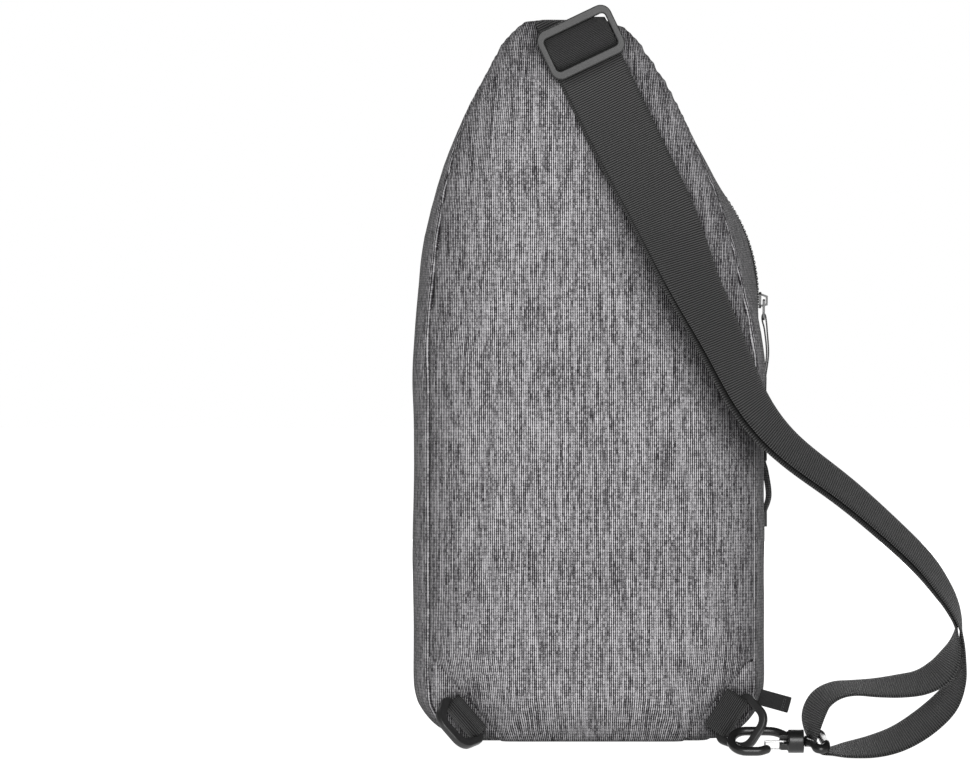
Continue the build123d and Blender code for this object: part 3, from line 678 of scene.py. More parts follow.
def shell_wrinkles(place):
    """Wrinkles fade out at the back seam and at the base."""
    return fade(place[:, 1], SEAM_Y, 8 * MM) * np.maximum(fade(place[:, 2], 5 * MM, 8 * MM), 0.1)


BAND_LOW = low("main_tape_back", 2) + 1 * MM
GUSSET_BACK = SEAM_Y + 0.4 * MM
YOKE_SPREAD = math.tan(math.radians(36))


def is_gusset(c):
    """The wall between the back seam and the front, less the band that the zip tapes fill."""
    return GUSSET_BACK < c.y < ZIP_FRONT and not (c.y > ZIP_BACK and c.z > BAND_LOW)


def is_yoke(c):
    """The piece that closes the crown, between two rays from the arch's middle."""
    return c.z > ARCH_Z and abs(c.x) < (c.z - ARCH_Z) * YOKE_SPREAD


def gusset_and_yoke(shell):
    gusset = clone(shell, "gusset_cloth")
    keep_faces(gusset, is_gusset)
    for side in (-1, 1):
        cut(gusset, (0, 0, ARCH_Z), (1, 0, -side * YOKE_SPREAD))
    yoke = clone(gusset, "yoke_cloth")
    keep_faces(yoke, is_yoke)
    x, y, z = coords(yoke).T
    weave(yoke, x, (z - y) * 0.75)
    dress(yoke, "cloth", "bag", "heather_cloth", "top_yoke")
    keep_faces(gusset, lambda c: not is_yoke(c))
    x, y, z = coords(gusset).T
    turned = ARCH_Z + np.arctan2(z - ARCH_Z, np.abs(x)) * 120 * MM
    around = np.where(z > ARCH_Z, turned, np.where(z < 12 * MM, x, z))
    weave(gusset, y + 0.3, around)
    sewn = ("gusset_left", "gusset_right", "gusset_base", "front_border")
    dress(gusset, "cloth", "bag", "heather_cloth", *sewn)


def front_wall(shell):
    front = clone(shell, "front_wall_cloth")
    keep_faces(front, lambda c: c.y > ZIP_FRONT)
    place = coords(front)
    weave(front, place[:, 0], place[:, 2])
    dress(front, "cloth", "bag", "heather_cloth", "front_panel")


shell = build_shell()
wrinkle(shell, 0.7 * MM, 30 * MM, 3, shell_wrinkles)
for y in (GUSSET_BACK, ZIP_BACK, ZIP_FRONT):
    cut(shell, (0, y, 0), (0, 1, 0))
cut(shell, (0, 0, BAND_LOW), (0, 0, 1))
gusset_and_yoke(shell)
front_wall(shell)
bpy.data.objects.remove(shell)

# ---------------------------------------------------------------- padded back
CUT_RIGHT = ((93.7 * MM, 43 * MM), (56.9 * MM, 0.0))
CUT_LEFT = ((-52.9 * MM, 0.0), (-94.3 * MM, 47.7 * MM))


def cut_frame(line, side):
    """One end of a corner cut and the direction square to it, away from the bag."""
    (ax, az), (bx, bz) = line
    run = np.array([bx - ax, bz - az])
    run /= np.linalg.norm(run)
    return np.array([ax, az]), np.array([abs(run[1]) * side, -abs(run[0])])


def clipped(outline, gap):
    """Pulls outline points back onto the two corner cuts."""
    out = outline.copy()
    for line, side in ((CUT_RIGHT, 1), (CUT_LEFT, -1)):
        end, outward = cut_frame(line, side)
        away = (out - end) @ outward + gap
        hit = away > 0
        out[hit] -= away[hit][:, None] * outward
    return out


def painted_edge_shade(place, outline):
    """Painted shade: 1 at the side seams, fading to 0 over the panel; a little below 0 along the bottom
    seam, where it paints the cloth lighter.
    """
    sides = outline[outline[:, 1] > 50 * MM]
    gap = np.empty(len(place))
    for start in range(0, len(place), 4000):
        part = place[start : start + 4000]
        run = np.hypot(part[:, 0, None] - sides[None, :, 0], part[:, 2, None] - sides[None, :, 1])
        gap[start : start + 4000] = run.min(axis=1)
    return np.exp(-((gap / (18 * MM)) ** 1.3)) - 0.75 * np.exp(-np.maximum(place[:, 2], 0) / (8 * MM))


PAD_SECTION = [
    (4, -37.5), (0.6, -38.1), (-0.8, -38.7), (-0.8, -39.8), (0.5, -41.4),
    (3.2, -43.1), (7.5, -44.4), (13, -45.1), (20, -45.5),
]


def back_pad():
    """The padded panel against the wearer, from its edge section of (inset, depth) pairs in mm."""
    seam = teardrop(dict(SEAM, floor=-1.3), 420)
    rings = []
    for inset, y in PAD_SECTION:
        ring = clipped(inset_outline(seam, inset * MM), (inset + 0.3) * MM)
        rings.append(ring_at(ring, y * MM))
    pad = loft_rings("back_pad", rings)
    remesh(pad, 3.4 * MM)
    relax(pad, 2)
    puff(pad, coords(pad)[:, 1] > -41.0 * MM, 1.2 * MM, pressure=0.8, stiff=12)
    subdivide(pad)
    wrinkle(pad, 0.5 * MM, 40 * MM, 9, lambda p: fade(-p[:, 1], 42 * MM, 2 * MM))
    place = coords(pad)
    x, y, z = place.T
    around = x + np.clip(x / (50 * MM), -1, 1) * (y + 45.6 * MM)
    # Painted shade darkens the pad towards its side seams; painted light lifts it along the bottom seam
    weave(pad, around, z, painted_edge_shade(place, seam))
    dress(pad, "cloth", "bag", "heather_cloth", "back_panel")


back_pad()


def corner_patch(side_name, side):
    """Cloth let into the cut corner, with its weave upright like the back's."""
    line = CUT_RIGHT if side > 0 else CUT_LEFT[::-1]
    a, b = np.array(line)
    end, outward = cut_frame(line, side)
    seam = teardrop(SEAM, 600)
    edge = seam[((seam - end) @ outward > -1 * MM) & (seam[:, 1] < 70 * MM)]
    edge = edge[np.argsort((edge - end) @ (b - a))]
    rows, columns = 14, 40
    outer = resample(edge, columns)
    inner = np.linspace(a, b, columns) - outward * 4.5 * MM
    verts = []
    for r in range(rows):
        t = r / (rows - 1)
        line_points = inner * (1 - t) + outer * t
        crown = math.sin(math.pi * min(1, t * 1.05)) * 1.3 * MM
        for c, (x, z) in enumerate(line_points):
            pucker = 0.21 * MM * math.sin(c * 1.9) * (1 - t) ** 2
            verts.append((x, SEAM_Y - 0.6 * MM - crown - pucker + t**4 * 3.0 * MM, z))
    patch = mesh_object("corner_cloth_" + side_name, verts, grid_faces(rows, columns))
    thicken(patch, 0.5 * MM)
    subdivide(patch)
    fix_normals(patch)
    place = coords(patch)
    # Painted shade: the whole patch is darkened by a fixed 0.3
    weave(patch, place[:, 0] + 0.7, place[:, 2], 0.3)
    dress(patch, "cloth", "bag", "heather_cloth", "corner_patch_" + side_name)


corner_patch("right", 1)
corner_patch("left", -1)


# ---------------------------------------------------------------- lower pocket
POCKET_RADIUS = 166.5 * MM
POCKET_AXIS = high("front_pocket", 1) - POCKET_RADIUS
POCKET_HALF = 38.0
POCKET_COLUMNS = 110
POCKET_REACH = 101.5 * MM
POCKET_PROFILE = (1.2, 0.5, 1.5, 5, 12, 30, 60, 100, 135, 158, 164.5)


def round_corners(place):
    """Draws the pocket's two lower corners in to the corner radius."""
    for s in (-1, 1):
        dx = s * place[:, 0] - (POCKET_REACH - CORNER)
        dz = (CORNER + 1 * MM) - place[:, 2]
        length = np.hypot(dx, dz)
        over = (dx > 0) & (dz > 0) & (length > CORNER)
        scale = CORNER / np.maximum(length, 1e-9)
        place[over, 0] = s * ((POCKET_REACH - CORNER) + dx[over] * scale[over])
        place[over, 2] = (CORNER + 1 * MM) - dz[over] * scale[over]
    return place


def pocket_around(place):
    return np.arctan2(place[:, 0], place[:, 1] - POCKET_AXIS) * POCKET_RADIUS


def pocket_cloth():
    half = math.radians(POCKET_HALF)
    rows = smooth_path([(z * MM, 0, 0) for z in POCKET_PROFILE], 46)[:, 0]
    verts = []
    for z in rows:
        lean = min(1.0, z / (14 * MM))
        pull = 7 * MM * (1 - math.sqrt(max(0.0, 1 - (1 - lean) ** 2)))
        for angle in np.linspace(-half, half, POCKET_COLUMNS):
            r = POCKET_RADIUS - pull * (0.35 + 0.65 * math.cos(angle / half * math.pi / 2))
            verts.append((r * math.sin(angle), POCKET_AXIS + r * math.cos(angle), z))
    skin = mesh_object("pocket_cloth", verts, grid_faces(len(rows), POCKET_COLUMNS, flip=True))
    set_coords(skin, round_corners(coords(skin)))
    thicken(skin, 2.0 * MM, -1)
    subdivide(skin)
    wrinkle(skin, 1.0 * MM, 34 * MM, 17)
    fix_normals(skin)
    place = coords(skin)
    weave(skin, pocket_around(place), place[:, 2])
    dress(skin, "cloth", "bag", "heather_cloth", "front_pocket")


def pocket_roof():
    """Closes the pocket's top back to the bulging front wall."""
    half = math.radians(POCKET_HALF)
    top = low("pocket_roof", 2)
    rows = 8
    verts = []
    for t in np.linspace(0, 1, rows):
        for angle in np.linspace(-half, half, POCKET_COLUMNS):
            x = POCKET_RADIUS * math.sin(angle)
            y_out = POCKET_AXIS + POCKET_RADIUS * math.cos(angle)
            y_in = min(y_out, ZIP_FRONT + PANEL_RISE - x * x / (2 * PANEL_RADIUS) - 0.5 * MM)
            z = top + t * 11 * MM + 1.2 * MM * math.sin(math.pi * t)
            verts.append((x, y_out * (1 - t) + y_in * t, z))
    roof = mesh_object("pocket_roof_cloth", verts, grid_faces(rows, POCKET_COLUMNS, flip=True))
    thicken(roof, 1.2 * MM)
    subdivide(roof)
    wrinkle(roof, 0.4 * MM, 20 * MM, 23)
    fix_normals(roof)
    place = coords(roof)
    weave(roof, pocket_around(place), place[:, 2] - place[:, 1])
    dress(roof, "cloth", "bag", "heather_cloth", "pocket_roof")


pocket_cloth()
pocket_roof()


# ---------------------------------------------------------------- webbing
def directions(centre):
    """Unit direction at every point of a path."""
    run = np.gradient(centre, axis=0)
    return run / np.linalg.norm(run, axis=1)[:, None]


def webbing_profile(width, thick, edge, power, count):
    """Closed section of flat webbing that thins at its selvedges."""
    top = [(u * width / 2, thick / 2 * (1 - edge * abs(u) ** power)) for u in np.linspace(-1, 1, count)]
    return top + [(x, -h) for x, h in top[::-1]]


def tube(name, rows, across, distance):
    """Skin over equal sections of points; across and distance say where they lie on the flat cloth."""
    columns = len(across)
    faces = grid_faces(len(rows), columns, wrap=True)
    faces += [list(range(columns)), [(len(rows) - 1) * columns + i for i in range(columns)][::-1]]
    obj = mesh_object(name, np.vstack(rows), faces)
    weave(obj, np.tile(across, len(rows)), np.repeat(distance, columns))
    fix_normals(obj)
    return obj


# Rows of x, depth, height in mm and turn in degrees: 0 lies flat, more turns the right edge away
STRAP = [
    (-9.0, -47.8, 409.0, 0), (10.4, -48.0, 369.0, 1), (27.0, -50.6, 334.7, 11),
    (44.3, -53.8, 300.0, 20), (58.4, -58.6, 265.7, 38), (75.7, -61.6, 231.0, 49),
    (91.8, -63.0, 196.7, 58), (112.5, -62.0, 170.8, 64), (150.2, -60.4, 142.0, 68),
    (189.8, -59.8, 106.0, 71), (198.0, -59.9, 95.0, 71), (205.4, -59.9, 84.0, 74.5),
    (210.2, -59.9, 71.6, 80),
]
# The loop round the swivel's bar, all at one depth: x, height and turn
LOOP_DEPTH = -59.9
STRAP_LOOP = [
    (211.8, 62.0, 86), (211.6, 48.0, 92), (209.3, 36.0, 98), (202.6, 24.2, 105.5), (190.6, 13.2, 107.5),
    (176.6, 4.6, 106), (162.5, 0.0, 103), (147.3, -2.2, 97), (138.0, -2.9, 91), (131.0, -2.0, 90),
    (127.9, 3.0, 86), (127.8, 12.5, 77), (129.8, 19.9, 75), (133.9, 26.1, 77), (141.5, 30.3, 80),
    (150.9, 31.6, 82), (164.2, 31.7, 79), (177.5, 32.7, 75.5), (190.2, 35.0, 74), (200.6, 41.0, 73),
    (207.0, 50.2, 79), (210.0, 60.0, 90),
]
SECOND_LAYER_SHIFT = 1.3
# How far the second layer fans open from the first: height in mm, degrees
STRAP_OPENING = [(85, 0), (106, 1.6), (142, 2), (170, 1.8), (200, 3), (231, 2.6), (265, 1.2), (300, 0)]
STRAP_START = (-6.0, -47.8, 402.5, 0)


def strap_rows():
    loop = [(x, LOOP_DEPTH, z, turn) for x, z, turn in STRAP_LOOP]
    down = [row + (0.0,) for row in [STRAP_START] + STRAP[1:] + loop]
    up = [(x, y, z, 180 - turn, SECOND_LAYER_SHIFT) for x, y, z, turn in STRAP[:0:-1] + [STRAP_START]]
    return [(x * MM, y * MM, z * MM, turn, shift * MM) for x, y, z, turn, shift in down + up]


def faired(points):
    """Evens out the long run of the strap, leaving both ends as they are."""
    fair = points.copy()
    for _round in range(60):
        fair[1:-1] = (fair[:-2] + 2 * fair[1:-1] + fair[2:]) / 4
    share = fade(points[:, 2], 76 * MM, 16 * MM) * fade(-points[:, 2], -396 * MM, 12 * MM)
    return points + (fair - points) * share[:, None]


def strap():
    """Two layers in one ribbon: down to the swivel, round its bar and back up. Each row has its own turn."""
    points = faired(smooth_path(strap_rows(), 640))
    centre, turn, shift = points[:, :3], points[:, 3], points[:, 4]
    half, lift = 19 * MM, 0.85 * MM
    profile = webbing_profile(2 * half, 1.5 * MM, 0.55, 10, 15)
    opening = np.interp(centre[:, 2] / MM, *zip(*STRAP_OPENING))
    opening[: len(opening) // 2] = 0
    rows = []
    for c, r, angle, move, fan in zip(centre, directions(centre), turn, shift, opening):
        across = np.cross(np.array([0, 1, 0]), r)
        across /= np.linalg.norm(across)
        flat, less, more = (
            np.array(Matrix.Rotation(math.radians(-a), 3, Vector(r)) @ Vector(across))
            for a in (angle, angle - fan, angle + fan)
        )
        side = less if less[1] > more[1] else more
        c = c + (side - flat) * half
        face = np.cross(side, r)
        rows.append([c + side * (x + move) + face * (h + lift) for x, h in profile])
    obj = tube("strap_webbing_cloth", rows, [x for x, _ in profile], distance_along(centre))
    dress(obj, "webbing", "strap", "black_webbing", "strap_webbing", "strap_loop")


strap()


def sheet(name, path, side, width, thick, key, body, slot, *replaced, steps=60):
    """A flat strip swept along a path with its width always along side."""
    centre = smooth_path(path, steps)
    side = np.array(side, float)
    side /= np.linalg.norm(side)
    profile = webbing_profile(width, thick, 0.6, 8, 13)
    rows = []
    for c, r in zip(centre, directions(centre)):
        face = np.cross(side, r)
        rows.append([c + side * x + face * h for x, h in profile])
    obj = tube(name, rows, [x for x, _ in profile], distance_along(centre))
    return dress(obj, key, body, slot, *replaced)


# ---------------------------------------------------------------- stitches
def stitches(name, points, facing, length, gap, radius, key, body, slot):
    """Thread laid along points (N, 3); facing (N, 3) is the cloth normal there."""
    points, facing = np.array(points, float), np.array(facing, float)
    along = distance_along(points)

    def at(values, t):
        return np.array([np.interp(t, along, values[:, a]) for a in range(3)])

    rows, sides = 6, 6
    verts, faces = [], []
    start = gap / 2
    while start + length < along[-1]:
        base = len(verts)
        for k in range(rows):
            t = start + length * k / (rows - 1)
            p = at(points, t)
            n = at(facing, t)
            n /= np.linalg.norm(n)
            r = at(points, t + 1e-5) - p
            r /= max(np.linalg.norm(r), 1e-12)
            s = np.cross(n, r)
            w = radius * (0.35 + 0.65 * math.sin(math.pi * (k + 0.5) / rows))
            lift = radius * (0.9 * math.sin(math.pi * k / (rows - 1)) - 0.2)
            for j in range(sides):
                a = 2 * math.pi * j / sides
                verts.append(p + n * (lift + w * math.sin(a) * 0.8) + s * w * math.cos(a))
        faces += [[base + i for i in quad] for quad in grid_faces(rows, sides, wrap=True)]
        rim = [base + j for j in range(sides)]
        faces += [rim[::-1], [(rows - 1) * sides + j for j in rim]]
        start += length + gap
    return dress(mesh_object(name, verts, faces), key, body, slot)


# ---------------------------------------------------------------- moulded rings and their loops
def rounded_polygon(corners, radii, count=10):
    points = []
    total = len(corners)
    for i in range(total):
        a, b, c = (np.array(corners[j % total], float) for j in (i - 1, i, i + 1))
        u, v = (a - b) / np.linalg.norm(a - b), (c - b) / np.linalg.norm(c - b)
        half = math.acos(float(u @ v)) / 2
        middle = b + (u + v) / np.linalg.norm(u + v) * radii[i] / math.sin(half)
        s, e = b + u * radii[i] / math.tan(half), b + v * radii[i] / math.tan(half)
        a0 = math.atan2(*(s - middle)[::-1])
        turn = (math.atan2(*(e - middle)[::-1]) - a0 + math.pi) % (2 * math.pi) - math.pi
        points += [
            middle + radii[i] * np.array([math.cos(a0 + turn * k / count), math.sin(a0 + turn * k / count)])
            for k in range(count + 1)
        ]
    return np.array(points)


def plane_matrix(origin, x_axis, z_axis):
    x, z = Vector(x_axis).normalized(), Vector(z_axis).normalized()
    y = z.cross(x)
    return Matrix((
        (x.x, y.x, z.x, origin[0]), (x.y, y.y, z.y, origin[1]), (x.z, y.z, z.z, origin[2]), (0, 0, 0, 1)
    ))


def place_mesh(obj, matrix):
    obj.data.transform(matrix)
    obj.data.update()


def swept_loop(name, path, half_wide, half_thick, power, grow=0.0):
    """Closed moulded bar: a rounded-square section round a flat path, wider inwards on its far side."""
    points = resample(path, 150, closed=True)
    run = np.roll(points, -1, axis=0) - np.roll(points, 1, axis=0)
    run /= np.linalg.norm(run, axis=1)[:, None]
    out = np.stack([run[:, 1], -run[:, 0]], axis=1)
    sides = 20
    verts = []
    far = points[:, 1] / points[:, 1].max()
    for p, o, f in zip(points, out, far):
        extra = grow * min(1.0, max(0.0, f * 1.6 - 0.5))
        p = p - o * extra
        for k in range(sides):
            a = 2 * math.pi * k / sides
            c, s = math.cos(a), math.sin(a)
            w = (half_wide + extra) * math.copysign(abs(c) ** (2 / power), c)
            h = half_thick * math.copysign(abs(s) ** (2 / power), s)
            verts.append((p[0] + o[0] * w, p[1] + o[1] * w, h))
    total = len(verts)
    faces = [[i % total for i in quad] for quad in grid_faces(len(points) + 1, sides, wrap=True)]
    obj = mesh_object(name, verts, faces)
    fix_normals(obj)
    return obj


CORNERS = {
    "right": {
        "bar": (81.9, -47.4, 15.0), "along": (0.541, 0.0, 0.841), "tilt": 35.0, "leg": 8.8,
        "wide": 2.3, "thick": 2.0, "grow": 0.0,
    },
    "left": {
        "bar": (-71.7, -47.8, 13.7), "along": (0.655, 0.0, -0.755), "tilt": 62.0, "leg": 5.0,
        "wide": 2.4, "thick": 2.1, "grow": 0.9,
    },
}
RING_CORNERS = [(-15.2 * MM, 0), (15.2 * MM, 0), (10.5 * MM, 20.1 * MM), (-10.5 * MM, 20.1 * MM)]
RING_RADII = [3.6 * MM, 3.6 * MM, 8.0 * MM, 8.0 * MM]
LOOP_RADIUS = 4.1 * MM
DEPTH = np.array([0, 1, 0])


def moulded_ring(side, spec, bar, along, out):
    tilt = math.radians(spec["tilt"])
    reach = out * math.cos(tilt) - DEPTH * math.sin(tilt)
    path = rounded_polygon(RING_CORNERS, RING_RADII)
    wide, thick, grow = (spec[key] * MM for key in ("wide", "thick", "grow"))
    ring = swept_loop("ring_moulding_" + side, path, wide, thick, 4.0, grow)
    place_mesh(ring, plane_matrix(bar, along, np.cross(along, reach)))
    dress(ring, "ring", "ring_" + side, "black_hardware", "ring_" + side)


def ring_loop(side, leg, bar, along, out):
    """Webbing that comes out of the corner seam, round the ring's bar and back."""
    steps = [(-leg - 1.5 * MM, 1.6 * MM), (-leg + 0.5 * MM, 0.0 * MM), (-1.5 * MM, -3.7 * MM)]
    turns = np.radians([-70, -35, 0, 35, 75])
    steps += [(LOOP_RADIUS * math.cos(a), LOOP_RADIUS * math.sin(a)) for a in turns]
    steps += [(-2.0 * MM, 4.0 * MM), (-leg - 0.5 * MM, 3.2 * MM)]
    path = [bar + out * f + DEPTH * d for f, d in steps]
    name = "loop_webbing_" + side
    sheet(name, path, along, 24.6 * MM, 1.3 * MM, "loop_webbing", "bag", "black_webbing", "loop_" + side)
    start = bar + out * (-leg + 1.2 * MM) - DEPTH * 0.75 * MM
    edge = [start + along * u for u in np.linspace(-11.5 * MM, 11.5 * MM, 24)]
    facing = [out * 0.3 - DEPTH] * len(edge)
    name = "loop_stitches_" + side
    stitches(name, edge, facing, 1.7 * MM, 0.7 * MM, 0.22 * MM, "dark_thread", "bag", "black_webbing")


for side, spec in CORNERS.items():
    bar = np.array(spec["bar"]) * MM
    along = np.array(spec["along"])
    out = np.array([along[2], 0, -along[0]])
    moulded_ring(side, spec, bar, along, out)
    ring_loop(side, spec["leg"] * MM, bar, along, out)


# ---------------------------------------------------------------- tri-glide, its webbing, the anchor
def plate(name, outer, holes, thick, bevel):
    """Flat moulding with softened edges, from closed outlines in metres."""
    curve = bpy.data.curves.new(name, "CURVE")
    curve.dimensions = "2D"
    curve.fill_mode = "BOTH"
    curve.extrude = thick / 2 - bevel
    curve.bevel_depth = bevel
    curve.bevel_resolution = 3
    curve.offset = -bevel
    for outline in [outer] + holes:
        spline = curve.splines.new("POLY")
        spline.points.add(len(outline) - 1)
        for point, (x, y) in zip(spline.points, outline):
            point.co = (x, y, 0, 1)
        spline.use_cyclic_u = True
    carrier = new_object(name + "_curve", curve)
    bpy.context.view_layer.update()
    mesh = bpy.data.meshes.new_from_object(carrier.evaluated_get(bpy.context.evaluated_depsgraph_get()))
    bpy.data.objects.remove(carrier)
    obj = new_object(name, mesh)
    smooth_shade(obj)
    modify(obj, "WELD", merge_threshold=1e-6)
    modify(obj, "WEIGHTED_NORMAL", keep_sharp=True)
    return obj


def rectangle(width, height, radius):
    w, h = width / 2, height / 2
    return rounded_polygon([(-w, -h), (w, -h), (w, h), (-w, h)], [radius] * 4)


GLIDE_TURN = math.radians(25.5)
GLIDE_X = (math.cos(GLIDE_TURN), 0, math.sin(GLIDE_TURN))
glide_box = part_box("tri_glide")
glide_origin = [(glide_box[0][k] + glide_box[1][k]) / 2 for k in range(3)]
glide_back = glide_box[1][1]


def glide_matrix(lift):
    return plane_matrix((glide_origin[0], glide_back - lift, glide_origin[2]), GLIDE_X, (0, -1, 0))


GLIDE_OUTER = rectangle(46.2 * MM, 30.4 * MM, 6.6 * MM)
GLIDE_WINDOW = rectangle(38.6 * MM, 20.4 * MM, 2.4 * MM)
glide = plate("tri_glide_moulding", GLIDE_OUTER, [GLIDE_WINDOW], 4.0 * MM, 0.7 * MM)
place_mesh(glide, glide_matrix(2.0 * MM))
dress(glide, "hardware", "tri_glide", "black_hardware", "tri_glide")


def glide_hump():
    """Webbing that rises through the window round the hidden middle bar."""
    rows, columns = 26, 30
    verts, cloth = [], []
    for t in np.linspace(-1, 1, rows):
        for u in np.linspace(-1, 1, columns):
            x = u * 19.0 * MM - 0.3 * MM
            ceiling = (14.9 * MM - 0.43 * x) / 0.9
            y = t * 11.6 * MM if t < 0 else t * min(11.6 * MM, ceiling)
            z = 0.1 * MM + 3.9 * MM * math.cos(t * math.pi / 2) ** 0.8
            verts.append((x, y, z))
            cloth.append((x, t * 15.5 * MM))
    hump = mesh_object("glide_webbing", verts, grid_faces(rows, columns))
    weave(hump, *np.array(cloth).T)
    thicken(hump, 1.3 * MM, -1)
    place_mesh(hump, glide_matrix(0))
    fix_normals(hump)
    # The hump's material is the strap webbing darkened as painted shade
    dress(hump, "hump_webbing_painted_shade", "tri_glide", "black_webbing", "strap_end")


glide_hump()


def anchor():
    """Strap end sewn in under the crown edge: it lies on the back and turns in at the top seam."""
    rows, columns = 46, 26
    direction = np.array([-math.sin(GLIDE_TURN), 0, math.cos(GLIDE_TURN)])
    across = np.array(GLIDE_X)
    start = np.array([0.6 * MM, -46.9 * MM, 390 * MM])
    crest = 412.6 * MM
    bend = 1.6 * MM
    verts, cloth = [], []
    for v in np.linspace(0, 36 * MM, rows):
        for u in np.linspace(-18.6 * MM, 18.6 * MM, columns):
            p = start + direction * v + across * u
            excess = p[2] - crest
            if excess > 0:
                angle = min(excess / bend, math.pi / 2)
                rest = excess - angle * bend
                p = p - direction * (excess / direction[2])
                p[2] = crest + bend * math.sin(angle)
                p[1] = min(p[1] + bend * (1 - math.cos(angle)) + rest, -38 * MM)
            verts.append(p)
            cloth.append((u, v))
    piece = mesh_object("anchor_webbing", verts, grid_faces(rows, columns))
    weave(piece, *np.array(cloth).T)
    thicken(piece, 1.4 * MM)
    fix_normals(piece)
    dress(piece, "webbing", "bag", "black_webbing", "strap_anchor")


anchor()


# ---------------------------------------------------------------- ribbon tab
def tab():
    lean = math.radians(-15.5)
    out = np.array([math.cos(lean), 0, math.sin(lean)])
    up = np.array([-math.sin(lean), 0, math.cos(lean)])
    middle = np.array([(low("ribbon_tab", 0) + high("ribbon_tab", 0)) / 2, 0, 23.4 * MM])
    y = (low("ribbon_tab", 1) + high("ribbon_tab", 1)) / 2
    steps = [(-9.5, 0.55), (-3, 0.6), (4, 0.6), (7.6, 0.75), (8.5, 0)]
    steps += [(f, -d) for f, d in steps[3::-1]]
    path = [middle + out * f * MM + DEPTH * (y + d * MM) for f, d in steps]
    name = "ribbon_tab"
    sheet(name + "_cloth", path, up, 9.2 * MM, 0.7 * MM, "ribbon", "bag", "ribbon", name, steps=80)
    for index, f in enumerate((4.6, 5.6)):
        start = middle + out * f * MM + DEPTH * (y - 1.0 * MM)
        line = [start + up * u for u in np.linspace(-4.2 * MM, 4.2 * MM, 12)]
        name = f"tab_stitches_{index}"
        stitches(name, line, [-DEPTH] * 12, 1.1 * MM, 0.4 * MM, 0.16 * MM, "thread", "bag", "ribbon")


tab()


# ---------------------------------------------------------------- zips
def tooth(length, width, height):
    """Chamfered tooth about its own centre: x along the zip, y across, z out."""
    verts, a, b, c = [], length / 2, width / 2, height / 2
    for z, k in ((-c, 1.0), (c * 0.35, 1.0), (c, 0.62)):
        for x, y in ((-a, -b), (a, -b), (a, b), (-a, b)):
            verts.append((x * k, y * k, z))
    faces = [[0, 3, 2, 1], [8, 9, 10, 11]]
    for layer in (0, 4):
        for j in range(4):
            i = (j + 1) % 4
            faces.append([layer + j, layer + i, layer + 4 + i, layer + 4 + j])
    return verts, faces


def tooth_row(name, frames, node):
    """Teeth one by one along the zip, in turn a little to each side."""
    verts, faces = [], []
    shape, quads = tooth(1.35 * MM, 1.5 * MM, 1.5 * MM)
    for index, (origin, along, across, out) in enumerate(frames):
        shift = 0.45 * MM * (1 if index % 2 else -1)
        base = len(verts)
        for x, y, z in shape:
            verts.append(origin + along * x + across * (y + shift) + out * z)
        faces += [[base + i for i in quad] for quad in quads]
    dress(mesh_object(name, verts, faces, smooth=False), "teeth", "bag", "zip_teeth", node)


def tape_band(node, frames, near, far):
    """Twill tape beside the teeth, very slightly cupped."""
    columns = 9
    verts = []
    for origin, _, across, out in frames:
        for t in np.linspace(0, 1, columns):
            y = near + (far - near) * t
            verts.append(origin + across * y + out * (0.25 * MM * math.sin(math.pi * t) - 0.3 * MM))
    obj = mesh_object(node + "_cloth", verts, grid_faces(len(frames), columns))
    along = distance_along(np.array([frame[0] for frame in frames]))
    weave(obj, np.tile(np.linspace(near, far, columns), len(frames)), np.repeat(along, columns))
    thicken(obj, 0.8 * MM)
    fix_normals(obj)
    dress(obj, "tape", "bag", "zip_tape", node)


def arch_frames(radius, step, start=-6.0, stop=186.0):
    count = int(math.radians(stop - start) * radius / step)
    frames = []
    for angle in np.radians(np.linspace(start, stop, count)):
        out = np.array([math.cos(angle), 0, math.sin(angle)])
        run = np.array([-math.sin(angle), 0, math.cos(angle)])
        frames.append((np.array([0, ZIP_Y, ARCH_Z]) + out * radius, run, np.array([0.0, 1.0, 0.0]), out))
    return frames


def pocket_frames(radius, z, step, half=POCKET_HALF):
    count = int(math.radians(2 * half) * radius / step)
    frames = []
    for angle in np.radians(np.linspace(half, -half, count)):
        out = np.array([math.sin(angle), math.cos(angle), 0])
        run = np.array([-math.cos(angle), math.sin(angle), 0])
        frames.append((np.array([0, POCKET_AXIS, z]) + out * radius, run, np.array([0.0, 0.0, 1.0]), out))
    return frames


def zip_stitches(name, line, out, thread):
    stitches(name, line, out, 2.3 * MM, 0.9 * MM, 0.22 * MM, thread, "bag", "heather_cloth")


POCKET_Z = (low("pocket_teeth", 2) + high("pocket_teeth", 2)) / 2
tooth_row("main_coil", arch_frames(99.2 * MM, 1.5 * MM), "main_teeth")
tooth_row("pocket_coil", pocket_frames(POCKET_RADIUS + 0.2 * MM, POCKET_Z, 1.5 * MM), "pocket_teeth")
arch = arch_frames(99.0 * MM, 3 * MM)
tape_band("main_tape_back", arch, -6.6 * MM, -0.7 * MM)
tape_band("main_tape_front", arch, 0.7 * MM, 6.4 * MM)
mouth = pocket_frames(POCKET_RADIUS - 0.2 * MM, POCKET_Z, 3 * MM)
tape_band("pocket_tape_lower", mouth, -7.4 * MM, -0.7 * MM)
tape_band("pocket_tape_upper", mouth, 0.7 * MM, 7.4 * MM)
seam = arch_frames(99.4 * MM, 4 * MM, -2, 182)
for name, y in (("back", ZIP_BACK - 2.2 * MM), ("front", ZIP_FRONT + 0.4 * MM)):
    line = [f[0] * np.array([1, 0, 1]) + DEPTH * y + f[3] * 0.1 * MM for f in seam]
    zip_stitches("main_zip_stitches_" + name, line, [f[3] for f in seam], "dark_thread")
